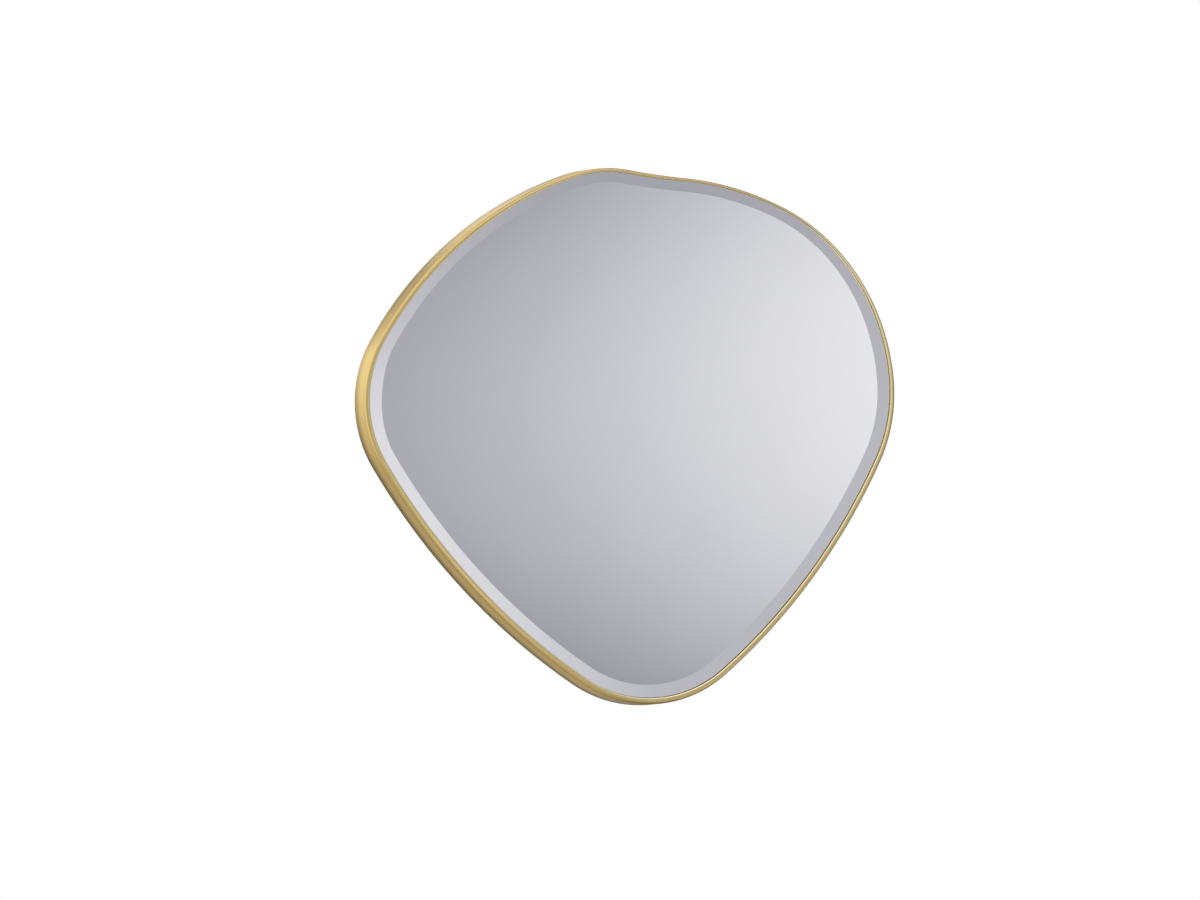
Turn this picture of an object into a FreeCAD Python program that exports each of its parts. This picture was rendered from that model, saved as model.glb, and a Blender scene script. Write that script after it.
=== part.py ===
import FreeCAD, Part
import math
import os
import Sketcher
from FreeCAD import Placement, Rotation, Vector

# A pebble-shaped wall mirror: a bevelled glass in a bent gilt band, hung by two swinging rings.
# X runs to the right, Y from the glass to the wall and Z up. The origin is the middle of the box.

# Driving dimensions in millimetres and degrees
SIZES = {
    # The outline of the band: one large round lobe that runs on into a flatter shoulder, three
    # corners that stand proud of the lobe, a hollow waist between the shoulder and the top corner,
    # and a tighter corner on the right that runs on into the lobe
    "lobe_centre_x": 93.45,
    "lobe_centre_z": 47.8,
    "lobe_radius": 228.5,
    "shoulder_climb": 66.4,
    "shoulder_radius": 356,
    "waist_radius": 800,
    "top_corner_climb": 39.7,
    "top_corner_proud": 73.5,
    "top_corner_radius": 150,
    "top_left_flank": 429,
    "left_corner_dip": 3.2,
    "left_corner_proud": 187,
    "left_corner_radius": 132,
    "left_bottom_flank": 755,
    "bottom_corner_lean": 21.1,
    "bottom_corner_proud": 128,
    "bottom_corner_radius": 150.5,
    "bottom_right_flank": 723,
    "right_corner_climb": 6.2,
    "right_corner_radius": 171.5,
    # The bent band
    "frame_depth": 30,
    "nose_width": 5.4,
    "opening_rise": 1.4,
    "nose_outer_round": 2.2,
    "nose_inner_round": 1,
    "band_wall": 2,
    "rear_round": 1.2,
    # The glass and what lies behind it
    "glass_recess": 1,
    "glass_gap": 0.4,
    "glass_thickness": 5,
    "bevel_width": 12.6,
    "bevel_drop": 2,
    "bevel_rise": 1.2,
    "bevel_left": 1.9,
    "film_thickness": 0.3,
    "film_inset": 1,
    "tape_thickness": 1,
    "tape_width": 40,
    "tape_margin": 40,
    "board_thickness": 9,
    "board_clearance": 0.5,
    # Angle brackets between the board and the band
    "bracket_width": 24,
    "bracket_foot": 18,
    "bracket_leg": 9,
    "bracket_sheet": 1.5,
    "bracket_bend": 1.2,
    "bracket_corner": 4,
    "bracket_clearance": 0.3,
    # Wood screws
    "screw_shank": 3.5,
    "screw_head": 7,
    "screw_head_height": 2.4,
    "screw_length": 9,
    "screw_tip": 2.5,
    "pilot_clearance": 0.05,
    "pilot_spare": 0.3,
    "hole_clearance": 0.3,
    # Hanging straps and rings
    "hanger_half_span": 175,
    "hanger_height": 120,
    "ring_wire": 3,
    "ring_bar": 17,
    "ring_corner": 3.5,
    "ring_leg": 6,
    "eye_clearance": 0.1,
    "eye_wrap": 250,
    "strap_sheet": 1.2,
    "strap_side_play": 0.5,
    "strap_first_screw": 9,
    "strap_screw_pitch": 20,
    # Rubber bumpers
    "bumper_proud": 1.5,
    "bumper_base": 20,
    "bumper_tip": 15,
    "bumper_round": 1.2,
    "bumper_floor": 3,
    "bumper_well": 8.4,
    "bumper_inset": 45,
}
# The arcs of the outline and their radii, counterclockwise. The flanks have no centre of their own:
# each runs on smoothly from the arcs beside it, and one of them is hollow.
ARCS = {
    "lobe": "lobe_radius",
    "shoulder": "shoulder_radius",
    "waist": "waist_radius",
    "top": "top_corner_radius",
    "top_left": "top_left_flank",
    "left": "left_corner_radius",
    "left_bottom": "left_bottom_flank",
    "bottom": "bottom_corner_radius",
    "bottom_right": "bottom_right_flank",
    "right": "right_corner_radius",
}
FLANKS = ("waist", "top_left", "left_bottom", "bottom_right")
HOLLOW = "waist"
TAPE_COUNT = 5
BRACKET_COUNTS = {
    "lobe": 2,
    "top": 1,
    "top_left": 1,
    "left": 1,
    "left_bottom": 1,
    "bottom": 1,
    "bottom_right": 1,
    "right": 1,
}
BUMPER_ARCS = ("lobe", "top", "left", "bottom")
HANGER_SIDES = {"left": -1, "right": 1}
NEAR = 1e-4

# Planes where the pieces meet, as depths from the middle of the box
FRONT = "(-(sizes.frame_depth + sizes.bumper_proud) / 2)"
GLASS_FRONT = FRONT + " + sizes.glass_recess"
GLASS_REAR = GLASS_FRONT + " + sizes.glass_thickness"
FILM_REAR = GLASS_REAR + " + sizes.film_thickness"
BOARD_FRONT = FILM_REAR + " + sizes.tape_thickness"
BOARD_REAR = BOARD_FRONT + " + sizes.board_thickness"
WALL_PLANE = "((sizes.frame_depth + sizes.bumper_proud) / 2)"

# Sizes that follow from others
NOSE_DEPTH = "(sizes.glass_recess + sizes.glass_thickness + sizes.film_thickness + sizes.tape_thickness)"
GLASS_INSET = "(sizes.nose_width + sizes.glass_gap)"
FILM_INSET = "(sizes.nose_width + sizes.glass_gap + sizes.film_inset)"
ARRIS_INSET = "(sizes.nose_width + sizes.glass_gap + sizes.bevel_width)"
ARRIS_RISE = "(sizes.opening_rise + sizes.bevel_rise)"
BOARD_INSET = "(sizes.band_wall + sizes.board_clearance)"
SHANK_RADIUS = "(sizes.screw_shank / 2)"
HOLE_RADIUS = "(sizes.screw_shank / 2 + sizes.hole_clearance)"
PILOT_RADIUS = "(sizes.screw_shank / 2 + sizes.pilot_clearance)"
DOME_RADIUS = "((sizes.screw_head ^ 2 / 4 + sizes.screw_head_height ^ 2) / (2 * sizes.screw_head_height))"
WIRE_RADIUS = "(sizes.ring_wire / 2)"
EYE_RADIUS = "(sizes.ring_wire / 2 + sizes.eye_clearance)"
CURL_RADIUS = "(sizes.ring_wire / 2 + sizes.eye_clearance + sizes.strap_sheet)"
STRAP_WIDTH = "(sizes.ring_bar - 2 * sizes.strap_side_play)"
LEAF_LENGTH = "(sizes.strap_first_screw + sizes.strap_screw_pitch)"
BUMPER_HEIGHT = "(" + WALL_PLANE + " - (" + BOARD_REAR + "))"

# Turns that stand a piece's own Z along -X, +Y or -Y
ALONG_LEFT = Rotation(Vector(0, -1, 0), Vector(0, 0, 1), Vector(-1, 0, 0), "XYZ")
TO_WALL = Rotation(Vector(1, 0, 0), -90)
TO_GLASS = Rotation(Vector(1, 0, 0), 90)

doc = FreeCAD.newDocument("mirror")
sheet = doc.addObject("Spreadsheet::Sheet", "sizes")
for row, (alias, value) in enumerate(SIZES.items(), start=1):
    sheet.set("A%d" % row, alias)
    sheet.set("B%d" % row, str(value))
    sheet.setAlias("B%d" % row, alias)
doc.recompute()


def value_of(expression):
    """The number that an expression of the sheet's sizes comes to."""
    return float(sheet.evalExpression(expression))


def size(alias):
    """The value of one driving dimension."""
    return value_of("sizes." + alias)


def bind(owner, **expressions):
    """Bind properties of an object to the sheet, two underscores standing for a dot."""
    for name, expression in expressions.items():
        owner.setExpression(name.replace("__", "."), expression)


def new_body(label):
    """An empty body with its label."""
    body = doc.addObject("PartDesign::Body", label)
    body.Label = label
    return body


def feature(body, kind, name, **expressions):
    """Add one feature to a body, with its sizes bound to the sheet."""
    added = body.newObject("PartDesign::" + kind, body.Name + "_" + name)
    bind(added, **expressions)
    return added


def primitive(body, kind, name, turn=Rotation(), x="0", y="0", z="0", **expressions):
    """Add a primitive to a body, or take it away, with its place and sizes bound to the sheet."""
    added = feature(body, kind, name, **expressions)
    added.Placement = Placement(Vector(0, 0, 0), turn)
    bind(added, Placement__Base__x=x, Placement__Base__y=y, Placement__Base__z=z)
    return added


def new_sketch(body, name, role="XZ_Plane"):
    """A sketch on an origin plane of its own body. On XZ_Plane its normal points to the front."""
    sketch = body.newObject("Sketcher::SketchObject", body.Name + "_" + name)
    support = next(f for f in body.Origin.OriginFeatures if f.Role == role)
    sketch.AttachmentSupport = (support, "")
    sketch.MapMode = "FlatFace"
    return sketch


def dimension(sketch, expression, *constraint):
    """Add one constraint, whose value is an expression of the sheet's sizes."""
    index = sketch.addConstraint(Sketcher.Constraint(*constraint, value_of(expression)))
    sketch.setExpression("Constraints[%d]" % index, expression)


def fillet(body, name, edges, radius):
    """Round some edges of a body's last feature."""
    base = body.Tip
    rounded = feature(body, "Fillet", name, Radius=radius)
    rounded.Base = (base, edges)
    doc.recompute()


def edges_where(shape, test):
    """The names of the edges of a shape whose two ends and middle all pass a test."""
    names = []
    for number, edge in enumerate(shape.Edges, start=1):
        middle = edge.valueAt((edge.FirstParameter + edge.LastParameter) / 2)
        points = [vertex.Point for vertex in edge.Vertexes] + [middle]
        if all(test(point) for point in points):
            names.append("Edge%d" % number)
    return names


# The outline and its offsets


def centre_expressions(corner):
    """The centre of a corner's circle, as two expressions."""
    if corner == "lobe":
        return "sizes.lobe_centre_x", "sizes.lobe_centre_z"
    proud = "0" if corner in ("shoulder", "right") else "sizes.%s_corner_proud" % corner
    reach = "(sizes.lobe_radius + %s - sizes.%s)" % (proud, ARCS[corner])
    angle = {
        "shoulder": "sizes.shoulder_climb",
        "top": "(180 - sizes.top_corner_climb)",
        "left": "(180 + sizes.left_corner_dip)",
        "bottom": "(270 - sizes.bottom_corner_lean)",
        "right": "sizes.right_corner_climb",
    }[corner]
    across = "sizes.lobe_centre_x + %s * cos(%s)" % (reach, angle)
    upwards = "sizes.lobe_centre_z + %s * sin(%s)" % (reach, angle)
    return across, upwards


LEFT_END = "(%s - sizes.left_corner_radius)" % centre_expressions("left")[0]
RIGHT_END = "(%s + sizes.right_corner_radius)" % centre_expressions("right")[0]


def heading(vector):
    """The direction of a vector in the outline's plane, in radians."""
    return math.atan2(vector.y, vector.x)


def sweep(centre, radius, start, end):
    """An arc as (centre, radius, start, end), its end turned on to lie counterclockwise of its start."""
    return centre, radius, start, start + (end - start) % math.tau


def outline_arcs(inset=0.0):
    """The arcs of the closed outline, drawn inwards by an inset.

    The centre of a flank lies where two circles round the centres of the arcs beside it meet, inside
    the outline, or outside it for the hollow one. The shoulder and the right corner touch the lobe.
    """
    names = list(ARCS)
    radii = {name: size(alias) for name, alias in ARCS.items()}
    centres = {}
    for corner in names:
        if corner not in FLANKS:
            across, upwards = centre_expressions(corner)
            centres[corner] = Vector(value_of(across), value_of(upwards), 0)
    # The direction straight out where each arc ends
    ends = {
        "lobe": math.radians(size("shoulder_climb")),
        "right": math.radians(size("right_corner_climb")),
    }
    for flank in FLANKS:
        before = names[names.index(flank) - 1]
        after = names[names.index(flank) + 1]
        side = -1 if flank == HOLLOW else 1
        chord = centres[after] - centres[before]
        near = side * radii[flank] - radii[before]
        far = side * radii[flank] - radii[after]
        along = (near ** 2 - far ** 2 + chord.Length ** 2) / (2 * chord.Length)
        aside = side * math.sqrt(near ** 2 - along ** 2)
        unit = chord / chord.Length
        centres[flank] = centres[before] + unit * along + Vector(-unit.y, unit.x, 0) * aside
        ends[before] = heading((centres[before] - centres[flank]) * side)
        ends[flank] = heading((centres[after] - centres[flank]) * side)
    arcs = []
    for i, name in enumerate(names):
        start = ends[names[i - 1]]
        end = ends[name]
        if name == HOLLOW:
            arcs.append(sweep(centres[name], radii[name] + inset, end + math.pi, start + math.pi))
        else:
            arcs.append(sweep(centres[name], radii[name] - inset, start, end))
    return arcs


def arc_curve(centre, radius, start, end):
    """One arc of the outline as a curve."""
    return Part.ArcOfCircle(Part.Circle(centre, Vector(0, 0, 1), radius), start, end)


def outline_sketch(body, name, inset="0", right="0", rise="0"):
    """The outline, drawn inwards by an inset and moved aside, with all its sizes bound to the sheet."""
    sketch = new_sketch(body, name)
    aside = Vector(value_of(right), value_of(rise), 0)
    arcs = outline_arcs(value_of(inset))
    for centre, radius, start, end in arcs:
        sketch.addGeometry(arc_curve(centre + aside, radius, start, end))
    names = list(ARCS)
    for i, name in enumerate(names):
        following = (i + 1) % len(names)
        # The hollow arc is drawn from its far end, because it curves the other way
        leaving = 1 if name == HOLLOW else 2
        meeting = 2 if names[following] == HOLLOW else 1
        sketch.addConstraint(Sketcher.Constraint("Tangent", i, leaving, following, meeting))
        grown = "+" if name == HOLLOW else "-"
        dimension(sketch, "sizes.%s %s %s" % (ARCS[name], grown, inset), "Radius", i)
    for i, name in enumerate(names):
        if name in FLANKS:
            continue
        across, upwards = centre_expressions(name)
        # The lobe already settles one way of the two arcs that touch it
        if name != "right":
            dimension(sketch, "%s + %s" % (across, right), "DistanceX", -1, 1, i, 3)
        if name != "shoulder":
            dimension(sketch, "%s + %s" % (upwards, rise), "DistanceY", -1, 1, i, 3)
    return sketch


def rim_edges(shape, depth, inset, rise=0.0):
    """The names of a shape's edges that lie at a depth, on the outline drawn in by an inset and raised."""
    rim = Part.Wire([arc_curve(*arc).toShape() for arc in outline_arcs(inset)])

    def on_rim(point):
        flat = Part.Vertex(point.x, point.z - rise, 0)
        return abs(point.y - depth) < NEAR and flat.distToShape(rim)[0] < NEAR

    return edges_where(shape, on_rim)


def pad_back(body, sketch, thickness):
    """Thicken a sketch towards the wall."""
    pad = feature(body, "Pad", "pad", Length=thickness)
    pad.Profile = sketch
    pad.Reversed = True
    doc.recompute()


def plate(label, front, inset, thickness, rise="0"):
    """A flat plate with the outline drawn in by an inset and raised, its front face at a depth."""
    body = new_body(label)
    pad_back(body, outline_sketch(body, "outline", inset, rise=rise), thickness)
    bind(body, Placement__Base__y=front)
    return body


def pocket(body, name, sketch, length):
    """Cut a sketch out of a body towards the wall, and make sure that it takes material away."""
    before = body.Shape.Volume
    hollow = feature(body, "Pocket", name, Length=length)
    hollow.Profile = sketch
    doc.recompute()
    if hollow.Shape.Volume >= before - NEAR:
        raise RuntimeError(hollow.Name + " cuts nothing")


# The gilt band, the glass and the layers behind it


def make_frame_band():
    """The bent band: a thin wall with a thick rounded nose, which leaves a shoulder for the board."""
    band = plate("frame_band", FRONT, "0", "sizes.frame_depth")
    opening = outline_sketch(band, "nose_opening", "sizes.nose_width", rise="sizes.opening_rise")
    pocket(band, "nose_cut", opening, "sizes.frame_depth")
    recess = outline_sketch(band, "rear_opening", "sizes.band_wall")
    bind(recess, AttachmentOffset__Base__z="-" + NOSE_DEPTH)
    pocket(band, "rear_cut", recess, "sizes.frame_depth - " + NOSE_DEPTH)
    outer_rim = rim_edges(band.Tip.Shape, 0, 0)
    fillet(band, "nose_outer_fillet", outer_rim, "sizes.nose_outer_round")
    inner_rim = rim_edges(band.Tip.Shape, 0, size("nose_width"), size("opening_rise"))
    fillet(band, "nose_inner_fillet", inner_rim, "sizes.nose_inner_round")
    rear_rim = rim_edges(band.Tip.Shape, size("frame_depth"), 0)
    fillet(band, "rear_fillet", rear_rim, "sizes.rear_round")
    return band


def make_glass():
    """The mirror glass: an even plate, and on it the hand-ground bevel, narrower at the top and left."""
    glass = new_body("mirror_glass")
    rim = outline_sketch(glass, "rim", GLASS_INSET, rise="sizes.opening_rise")
    bind(rim, AttachmentOffset__Base__z="-sizes.bevel_drop")
    pad_back(glass, rim, "sizes.glass_thickness - sizes.bevel_drop")
    arris = outline_sketch(glass, "arris", ARRIS_INSET, "(-sizes.bevel_left)", ARRIS_RISE)
    bevel = feature(glass, "AdditiveLoft", "bevel")
    bevel.Profile = rim
    bevel.Sections = [arris]
    bevel.Ruled = True
    bind(glass, Placement__Base__y=GLASS_FRONT)
    doc.recompute()
    return glass


def upright_chord(across, inset):
    """The lowest and highest point of the outline, drawn in by an inset, on an upright line."""
    heights = []
    for centre, radius, start, end in outline_arcs(inset):
        off = across - centre.x
        if abs(off) > radius:
            continue
        rise = math.sqrt(radius ** 2 - off ** 2)
        for height in (rise, -rise):
            if (math.atan2(height, off) - start) % math.tau <= end - start:
                heights.append(centre.y + height)
    return min(heights), max(heights)


def make_tape(number):
    """One upright strip of foam tape between film and board, which ends short of the film's edge."""
    strip = doc.addObject("Part::Box", "tape_strip_%d" % number)
    strip.Label = strip.Name
    place = LEFT_END + " + (%s - %s) * %d / %d" % (RIGHT_END, LEFT_END, number, TAPE_COUNT + 1)
    bind(strip, Length="sizes.tape_width", Width="sizes.tape_thickness")
    bind(strip, Placement__Base__x=place + " - sizes.tape_width / 2", Placement__Base__y=FILM_REAR)
    half_width = size("tape_width") / 2
    inset = value_of(FILM_INSET) + size("tape_margin")
    sides = [upright_chord(value_of(place) + side, inset) for side in (-half_width, half_width)]
    low = max(lowest for lowest, highest in sides)
    strip.Height = min(highest for lowest, highest in sides) - low
    bind(strip, Placement__Base__z="%r + sizes.opening_rise" % low)
    return strip


def make_board(screws):
    """The fibreboard that carries the glass, with a pilot hole for every (point, sheet under the head)."""
    board = plate("back_board", BOARD_FRONT, BOARD_INSET, "sizes.board_thickness")
    for number, (point, grip) in enumerate(screws, start=1):
        primitive(
            board,
            "SubtractiveCylinder",
            "pilot_%d" % number,
            TO_GLASS,
            x="%r" % point.x,
            y="sizes.board_thickness",
            z="%r" % point.z,
            Radius=PILOT_RADIUS,
            Height="sizes.screw_length - %s + sizes.pilot_spare" % grip,
        )
    doc.recompute()
    return board


# Screws


def make_screw(label, point, grip):
    """A round-headed screw that points to the glass, its head seated on a sheet on the board."""
    screw = new_body(label)
    sunk = "sizes.screw_length - sizes.screw_tip"
    primitive(screw, "AdditiveCylinder", "shank", TO_GLASS, Radius=SHANK_RADIUS, Height=sunk)
    tip = primitive(screw, "AdditiveCone", "tip", TO_GLASS, y="-(%s)" % sunk, Radius1=SHANK_RADIUS)
    tip.Radius2 = 0
    bind(tip, Height="sizes.screw_tip")
    dome = primitive(screw, "AdditiveSphere", "head", TO_WALL, Radius=DOME_RADIUS)
    bind(dome, Placement__Base__y="sizes.screw_head_height - " + DOME_RADIUS)
    bind(dome, Angle1="asin(1 - sizes.screw_head_height / %s)" % DOME_RADIUS)
    screw.Placement = Placement(Vector(point.x, 0, point.z), Rotation())
    bind(screw, Placement__Base__y=BOARD_REAR + " + " + grip)
    return screw


def make_screws(label, points, grip):
    """All screws of one kind, kept as separate solids in one group."""
    group = doc.addObject("Part::Compound", label)
    group.Label = label
    group.Links = [make_screw("%s_%d" % (label, i), point, grip) for i, point in enumerate(points, start=1)]
    return group


# Angle brackets


def bracket_stations():
    """Where the outer face of each bracket stands, as (point, direction), spread along the arcs.

    The face is flat and the band is curved, so the face stands back until its ends clear the band.
    """
    inset = size("band_wall") + size("bracket_clearance")
    half_width = size("bracket_width") / 2
    stations = []
    for name, (centre, radius, start, end) in zip(ARCS, outline_arcs(inset)):
        face = math.sqrt(radius ** 2 - half_width ** 2)
        count = BRACKET_COUNTS.get(name, 0)
        for i in range(count):
            angle = start + (end - start) * (i + 0.5) / count
            out = Vector(math.cos(angle), 0, math.sin(angle))
            stations.append((Vector(centre.x, 0, centre.y) + out * face, out))
    return stations


def make_bracket(number, point, out):
    """An angle bracket: its foot lies on the board and its leg stands against the band."""
    bracket = new_body("bracket_%d" % number)
    middle = "-sizes.bracket_width / 2"
    wide = "sizes.bracket_width"
    thick = "sizes.bracket_sheet"
    long = "sizes.bracket_foot"
    # In the bracket's own frame Z points out to the band, and Y away from the board
    primitive(bracket, "AdditiveBox", "foot", x=middle, z="-" + long, Length=wide, Width=thick, Height=long)
    tall = "sizes.bracket_leg"
    primitive(bracket, "AdditiveBox", "leg", x=middle, z="-" + thick, Length=wide, Width=tall, Height=thick)
    doc.recompute()
    bend = edges_where(bracket.Tip.Shape, lambda p: abs(p.y) < NEAR and abs(p.z) < NEAR)
    fillet(bracket, "bend", bend, "sizes.bracket_bend")
    foot_end = -size("bracket_foot")
    half_width = size("bracket_width") / 2
    corners = edges_where(
        bracket.Tip.Shape,
        lambda p: abs(p.z - foot_end) < NEAR and abs(abs(p.x) - half_width) < NEAR,
    )
    fillet(bracket, "corners", corners, "sizes.bracket_corner")
    primitive(
        bracket,
        "SubtractiveCylinder",
        "hole",
        TO_WALL,
        z="-sizes.bracket_foot / 2",
        Radius=HOLE_RADIUS,
        Height=thick,
    )
    turn = Rotation(Vector(0, 1, 0), math.degrees(math.atan2(out.x, out.z)))
    bracket.Placement = Placement(point, turn)
    bind(bracket, Placement__Base__y=BOARD_REAR)
    return bracket


def bracket_screw_points():
    """Where the screw of each bracket goes into the board."""
    return [point - out * (size("bracket_foot") / 2) for point, out in bracket_stations()]


# Hanging straps and rings


def hanger_point(side):
    """The middle of a ring's bar, seen from the front."""
    return Vector(HANGER_SIDES[side] * size("hanger_half_span"), 0, size("hanger_height"))


def hanger_screw_points():
    """Where the two screws of each strap go into the board."""
    first = Vector(0, 0, size("strap_first_screw"))
    pitch = Vector(0, 0, size("strap_screw_pitch"))
    return [hanger_point(side) - first - pitch * i for side in HANGER_SIDES for i in range(2)]


def make_strap(side):
    """A strap whose leaf is screwed to the board and whose top curls round the ring's bar."""
    strap = new_body("hanger_strap_" + side)
    # In the strap's own frame the bar runs along X at Z = 0, and Y points away from the board
    primitive(
        strap,
        "AdditiveBox",
        "leaf",
        x="-%s / 2" % STRAP_WIDTH,
        z="-" + LEAF_LENGTH,
        Length=STRAP_WIDTH,
        Width="sizes.strap_sheet",
        Height=LEAF_LENGTH,
    )
    primitive(
        strap,
        "AdditiveCylinder",
        "round_end",
        TO_WALL,
        z="-" + LEAF_LENGTH,
        Radius=STRAP_WIDTH + " / 2",
        Height="sizes.strap_sheet",
    )
    curl_place = dict(turn=ALONG_LEFT, x=STRAP_WIDTH + " / 2", y=CURL_RADIUS, Height=STRAP_WIDTH)
    curl = primitive(strap, "AdditiveCylinder", "curl", Radius=CURL_RADIUS, **curl_place)
    bind(curl, Angle="sizes.eye_wrap")
    primitive(strap, "SubtractiveCylinder", "eye", Radius=EYE_RADIUS, **curl_place)
    for number in range(2):
        primitive(
            strap,
            "SubtractiveCylinder",
            "hole_%d" % (number + 1),
            TO_WALL,
            z="-(sizes.strap_first_screw + %d * sizes.strap_screw_pitch)" % number,
            Radius=HOLE_RADIUS,
            Height="sizes.strap_sheet",
        )
    strap.Placement = Placement(hanger_point(side), Rotation())
    bind(strap, Placement__Base__y=BOARD_REAR)
    return strap


def make_ring(side):
    """A D-shaped ring of bent wire: a straight bar in the strap's eye, two short legs and a round bow."""
    ring = new_body("hanger_ring_" + side)
    half_bar = size("ring_bar") / 2
    bend = size("ring_corner")
    leg = size("ring_leg")
    reach = half_bar + bend
    path = new_sketch(ring, "path")
    path.addGeometry(Part.LineSegment(Vector(0, 0, 0), Vector(half_bar, 0, 0)))
    path.addGeometry(arc_curve(Vector(half_bar, -bend, 0), bend, 0, math.pi / 2))
    path.addGeometry(Part.LineSegment(Vector(reach, -bend, 0), Vector(reach, -bend - leg, 0)))
    path.addGeometry(arc_curve(Vector(0, -bend - leg, 0), reach, math.pi, math.tau))
    path.addGeometry(Part.LineSegment(Vector(-reach, -bend - leg, 0), Vector(-reach, -bend, 0)))
    path.addGeometry(arc_curve(Vector(-half_bar, -bend, 0), bend, math.pi / 2, math.pi))
    path.addGeometry(Part.LineSegment(Vector(-half_bar, 0, 0), Vector(0, 0, 0)))
    for first, first_end, second, second_end in (
        (0, 2, 1, 2), (1, 1, 2, 1), (2, 2, 3, 2), (3, 1, 4, 1), (4, 2, 5, 2), (5, 1, 6, 1)
    ):
        path.addConstraint(Sketcher.Constraint("Tangent", first, first_end, second, second_end))
    path.addConstraint(Sketcher.Constraint("Coincident", 0, 1, -1, 1))
    path.addConstraint(Sketcher.Constraint("Coincident", 6, 2, -1, 1))
    path.addConstraint(Sketcher.Constraint("Horizontal", 0))
    path.addConstraint(Sketcher.Constraint("Horizontal", 6))
    path.addConstraint(Sketcher.Constraint("Vertical", 2))
    path.addConstraint(Sketcher.Constraint("Vertical", 4))
    dimension(path, "sizes.ring_bar / 2", "DistanceX", 0, 1, 0, 2)
    dimension(path, "sizes.ring_bar / 2", "DistanceX", 6, 1, 6, 2)
    dimension(path, "sizes.ring_corner", "Radius", 1)
    dimension(path, "sizes.ring_corner", "Radius", 5)
    dimension(path, "sizes.ring_leg", "DistanceY", 2, 2, 2, 1)
    section = new_sketch(ring, "section", "YZ_Plane")
    section.addGeometry(Part.Circle(Vector(0, 0, 0), Vector(0, 0, 1), value_of(WIRE_RADIUS)))
    section.addConstraint(Sketcher.Constraint("Coincident", 0, 3, -1, 1))
    dimension(section, WIRE_RADIUS, "Radius", 0)
    wire = feature(ring, "AdditivePipe", "wire")
    wire.Profile = section
    wire.Spine = (path, [])
    ring.Placement = Placement(hanger_point(side), Rotation())
    bind(ring, Placement__Base__y="%s + %s" % (BOARD_REAR, CURL_RADIUS))
    doc.recompute()
    return ring


# Rubber bumpers


def bumper_points():
    """Where the bumpers stand: inside the lobe and the three corners that stand proud of it."""
    points = []
    arcs = dict(zip(ARCS, outline_arcs(size("bumper_inset"))))
    for name in BUMPER_ARCS:
        centre, radius, start, end = arcs[name]
        angle = (start + end) / 2
        points.append(Vector(centre.x + radius * math.cos(angle), 0, centre.y + radius * math.sin(angle)))
    return points


def make_bumper(number, point):
    """A tapered rubber foot, with a well that sinks the head of its screw."""
    bumper = new_body("wall_bumper_%d" % number)
    taper = dict(Radius1="sizes.bumper_base / 2", Radius2="sizes.bumper_tip / 2", Height=BUMPER_HEIGHT)
    primitive(bumper, "AdditiveCone", "foot", TO_WALL, **taper)
    doc.recompute()
    top = value_of(BUMPER_HEIGHT)
    fillet(bumper, "rim", edges_where(bumper.Tip.Shape, lambda p: abs(p.y - top) < NEAR), "sizes.bumper_round")
    primitive(bumper, "SubtractiveCylinder", "hole", TO_WALL, Radius=HOLE_RADIUS, Height=BUMPER_HEIGHT)
    primitive(
        bumper,
        "SubtractiveCylinder",
        "well",
        TO_WALL,
        y="sizes.bumper_floor",
        Radius="sizes.bumper_well / 2",
        Height=BUMPER_HEIGHT,
    )
    bumper.Placement = Placement(point, Rotation())
    bind(bumper, Placement__Base__y=BOARD_REAR)
    return bumper


def make_mirror():
    """Every piece of the mirror, in the order in which it is put together."""
    groups = {
        "bracket_screws": (bracket_screw_points(), "sizes.bracket_sheet"),
        "hanger_screws": (hanger_screw_points(), "sizes.strap_sheet"),
        "bumper_screws": (bumper_points(), "sizes.bumper_floor"),
    }
    pilots = [(point, grip) for points, grip in groups.values() for point in points]
    pieces = [
        make_frame_band(),
        make_glass(),
        plate("safety_film", GLASS_REAR, FILM_INSET, "sizes.film_thickness", "sizes.opening_rise"),
        make_board(pilots),
    ]
    pieces += [make_tape(number) for number in range(1, TAPE_COUNT + 1)]
    for number, (point, out) in enumerate(bracket_stations(), start=1):
        pieces.append(make_bracket(number, point, out))
    for side in HANGER_SIDES:
        pieces.append(make_strap(side))
        pieces.append(make_ring(side))
    for number, point in enumerate(bumper_points(), start=1):
        pieces.append(make_bumper(number, point))
    for label, (points, grip) in groups.items():
        pieces.append(make_screws(label, points, grip))
    doc.recompute()
    return pieces


def check(pieces):
    """Stop if any object of the document failed, or any piece is empty or broken."""
    for item in doc.Objects:
        if {"Invalid", "Error"} & set(item.State):
            raise RuntimeError("%s failed: %s" % (item.Name, item.State))
    for piece in pieces:
        if piece.Shape.isNull() or not piece.Shape.isValid() or not piece.Shape.Solids:
            raise RuntimeError(piece.Label + " has no valid solid")


def write(pieces):
    """Write every piece to a file of its own."""
    os.makedirs("parts", exist_ok=True)
    for piece in pieces:
        piece.Shape.exportStep("parts/%s.step" % piece.Label)
        print("%-20s %2d solid(s) %12.1f mm3" % (piece.Label, len(piece.Shape.Solids), piece.Shape.Volume))


mirror = make_mirror()
check(mirror)
write(mirror)
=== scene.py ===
"""A pebble-shaped wall mirror: a bevelled glass in a brushed gilt band, hung by two swinging rings.

Sizes are in metres. X runs to the right, Y from the glass to the wall and Z up.
"""
import logging
import math
from dataclasses import dataclass
from enum import Enum
from typing import NamedTuple, Sequence

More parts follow.
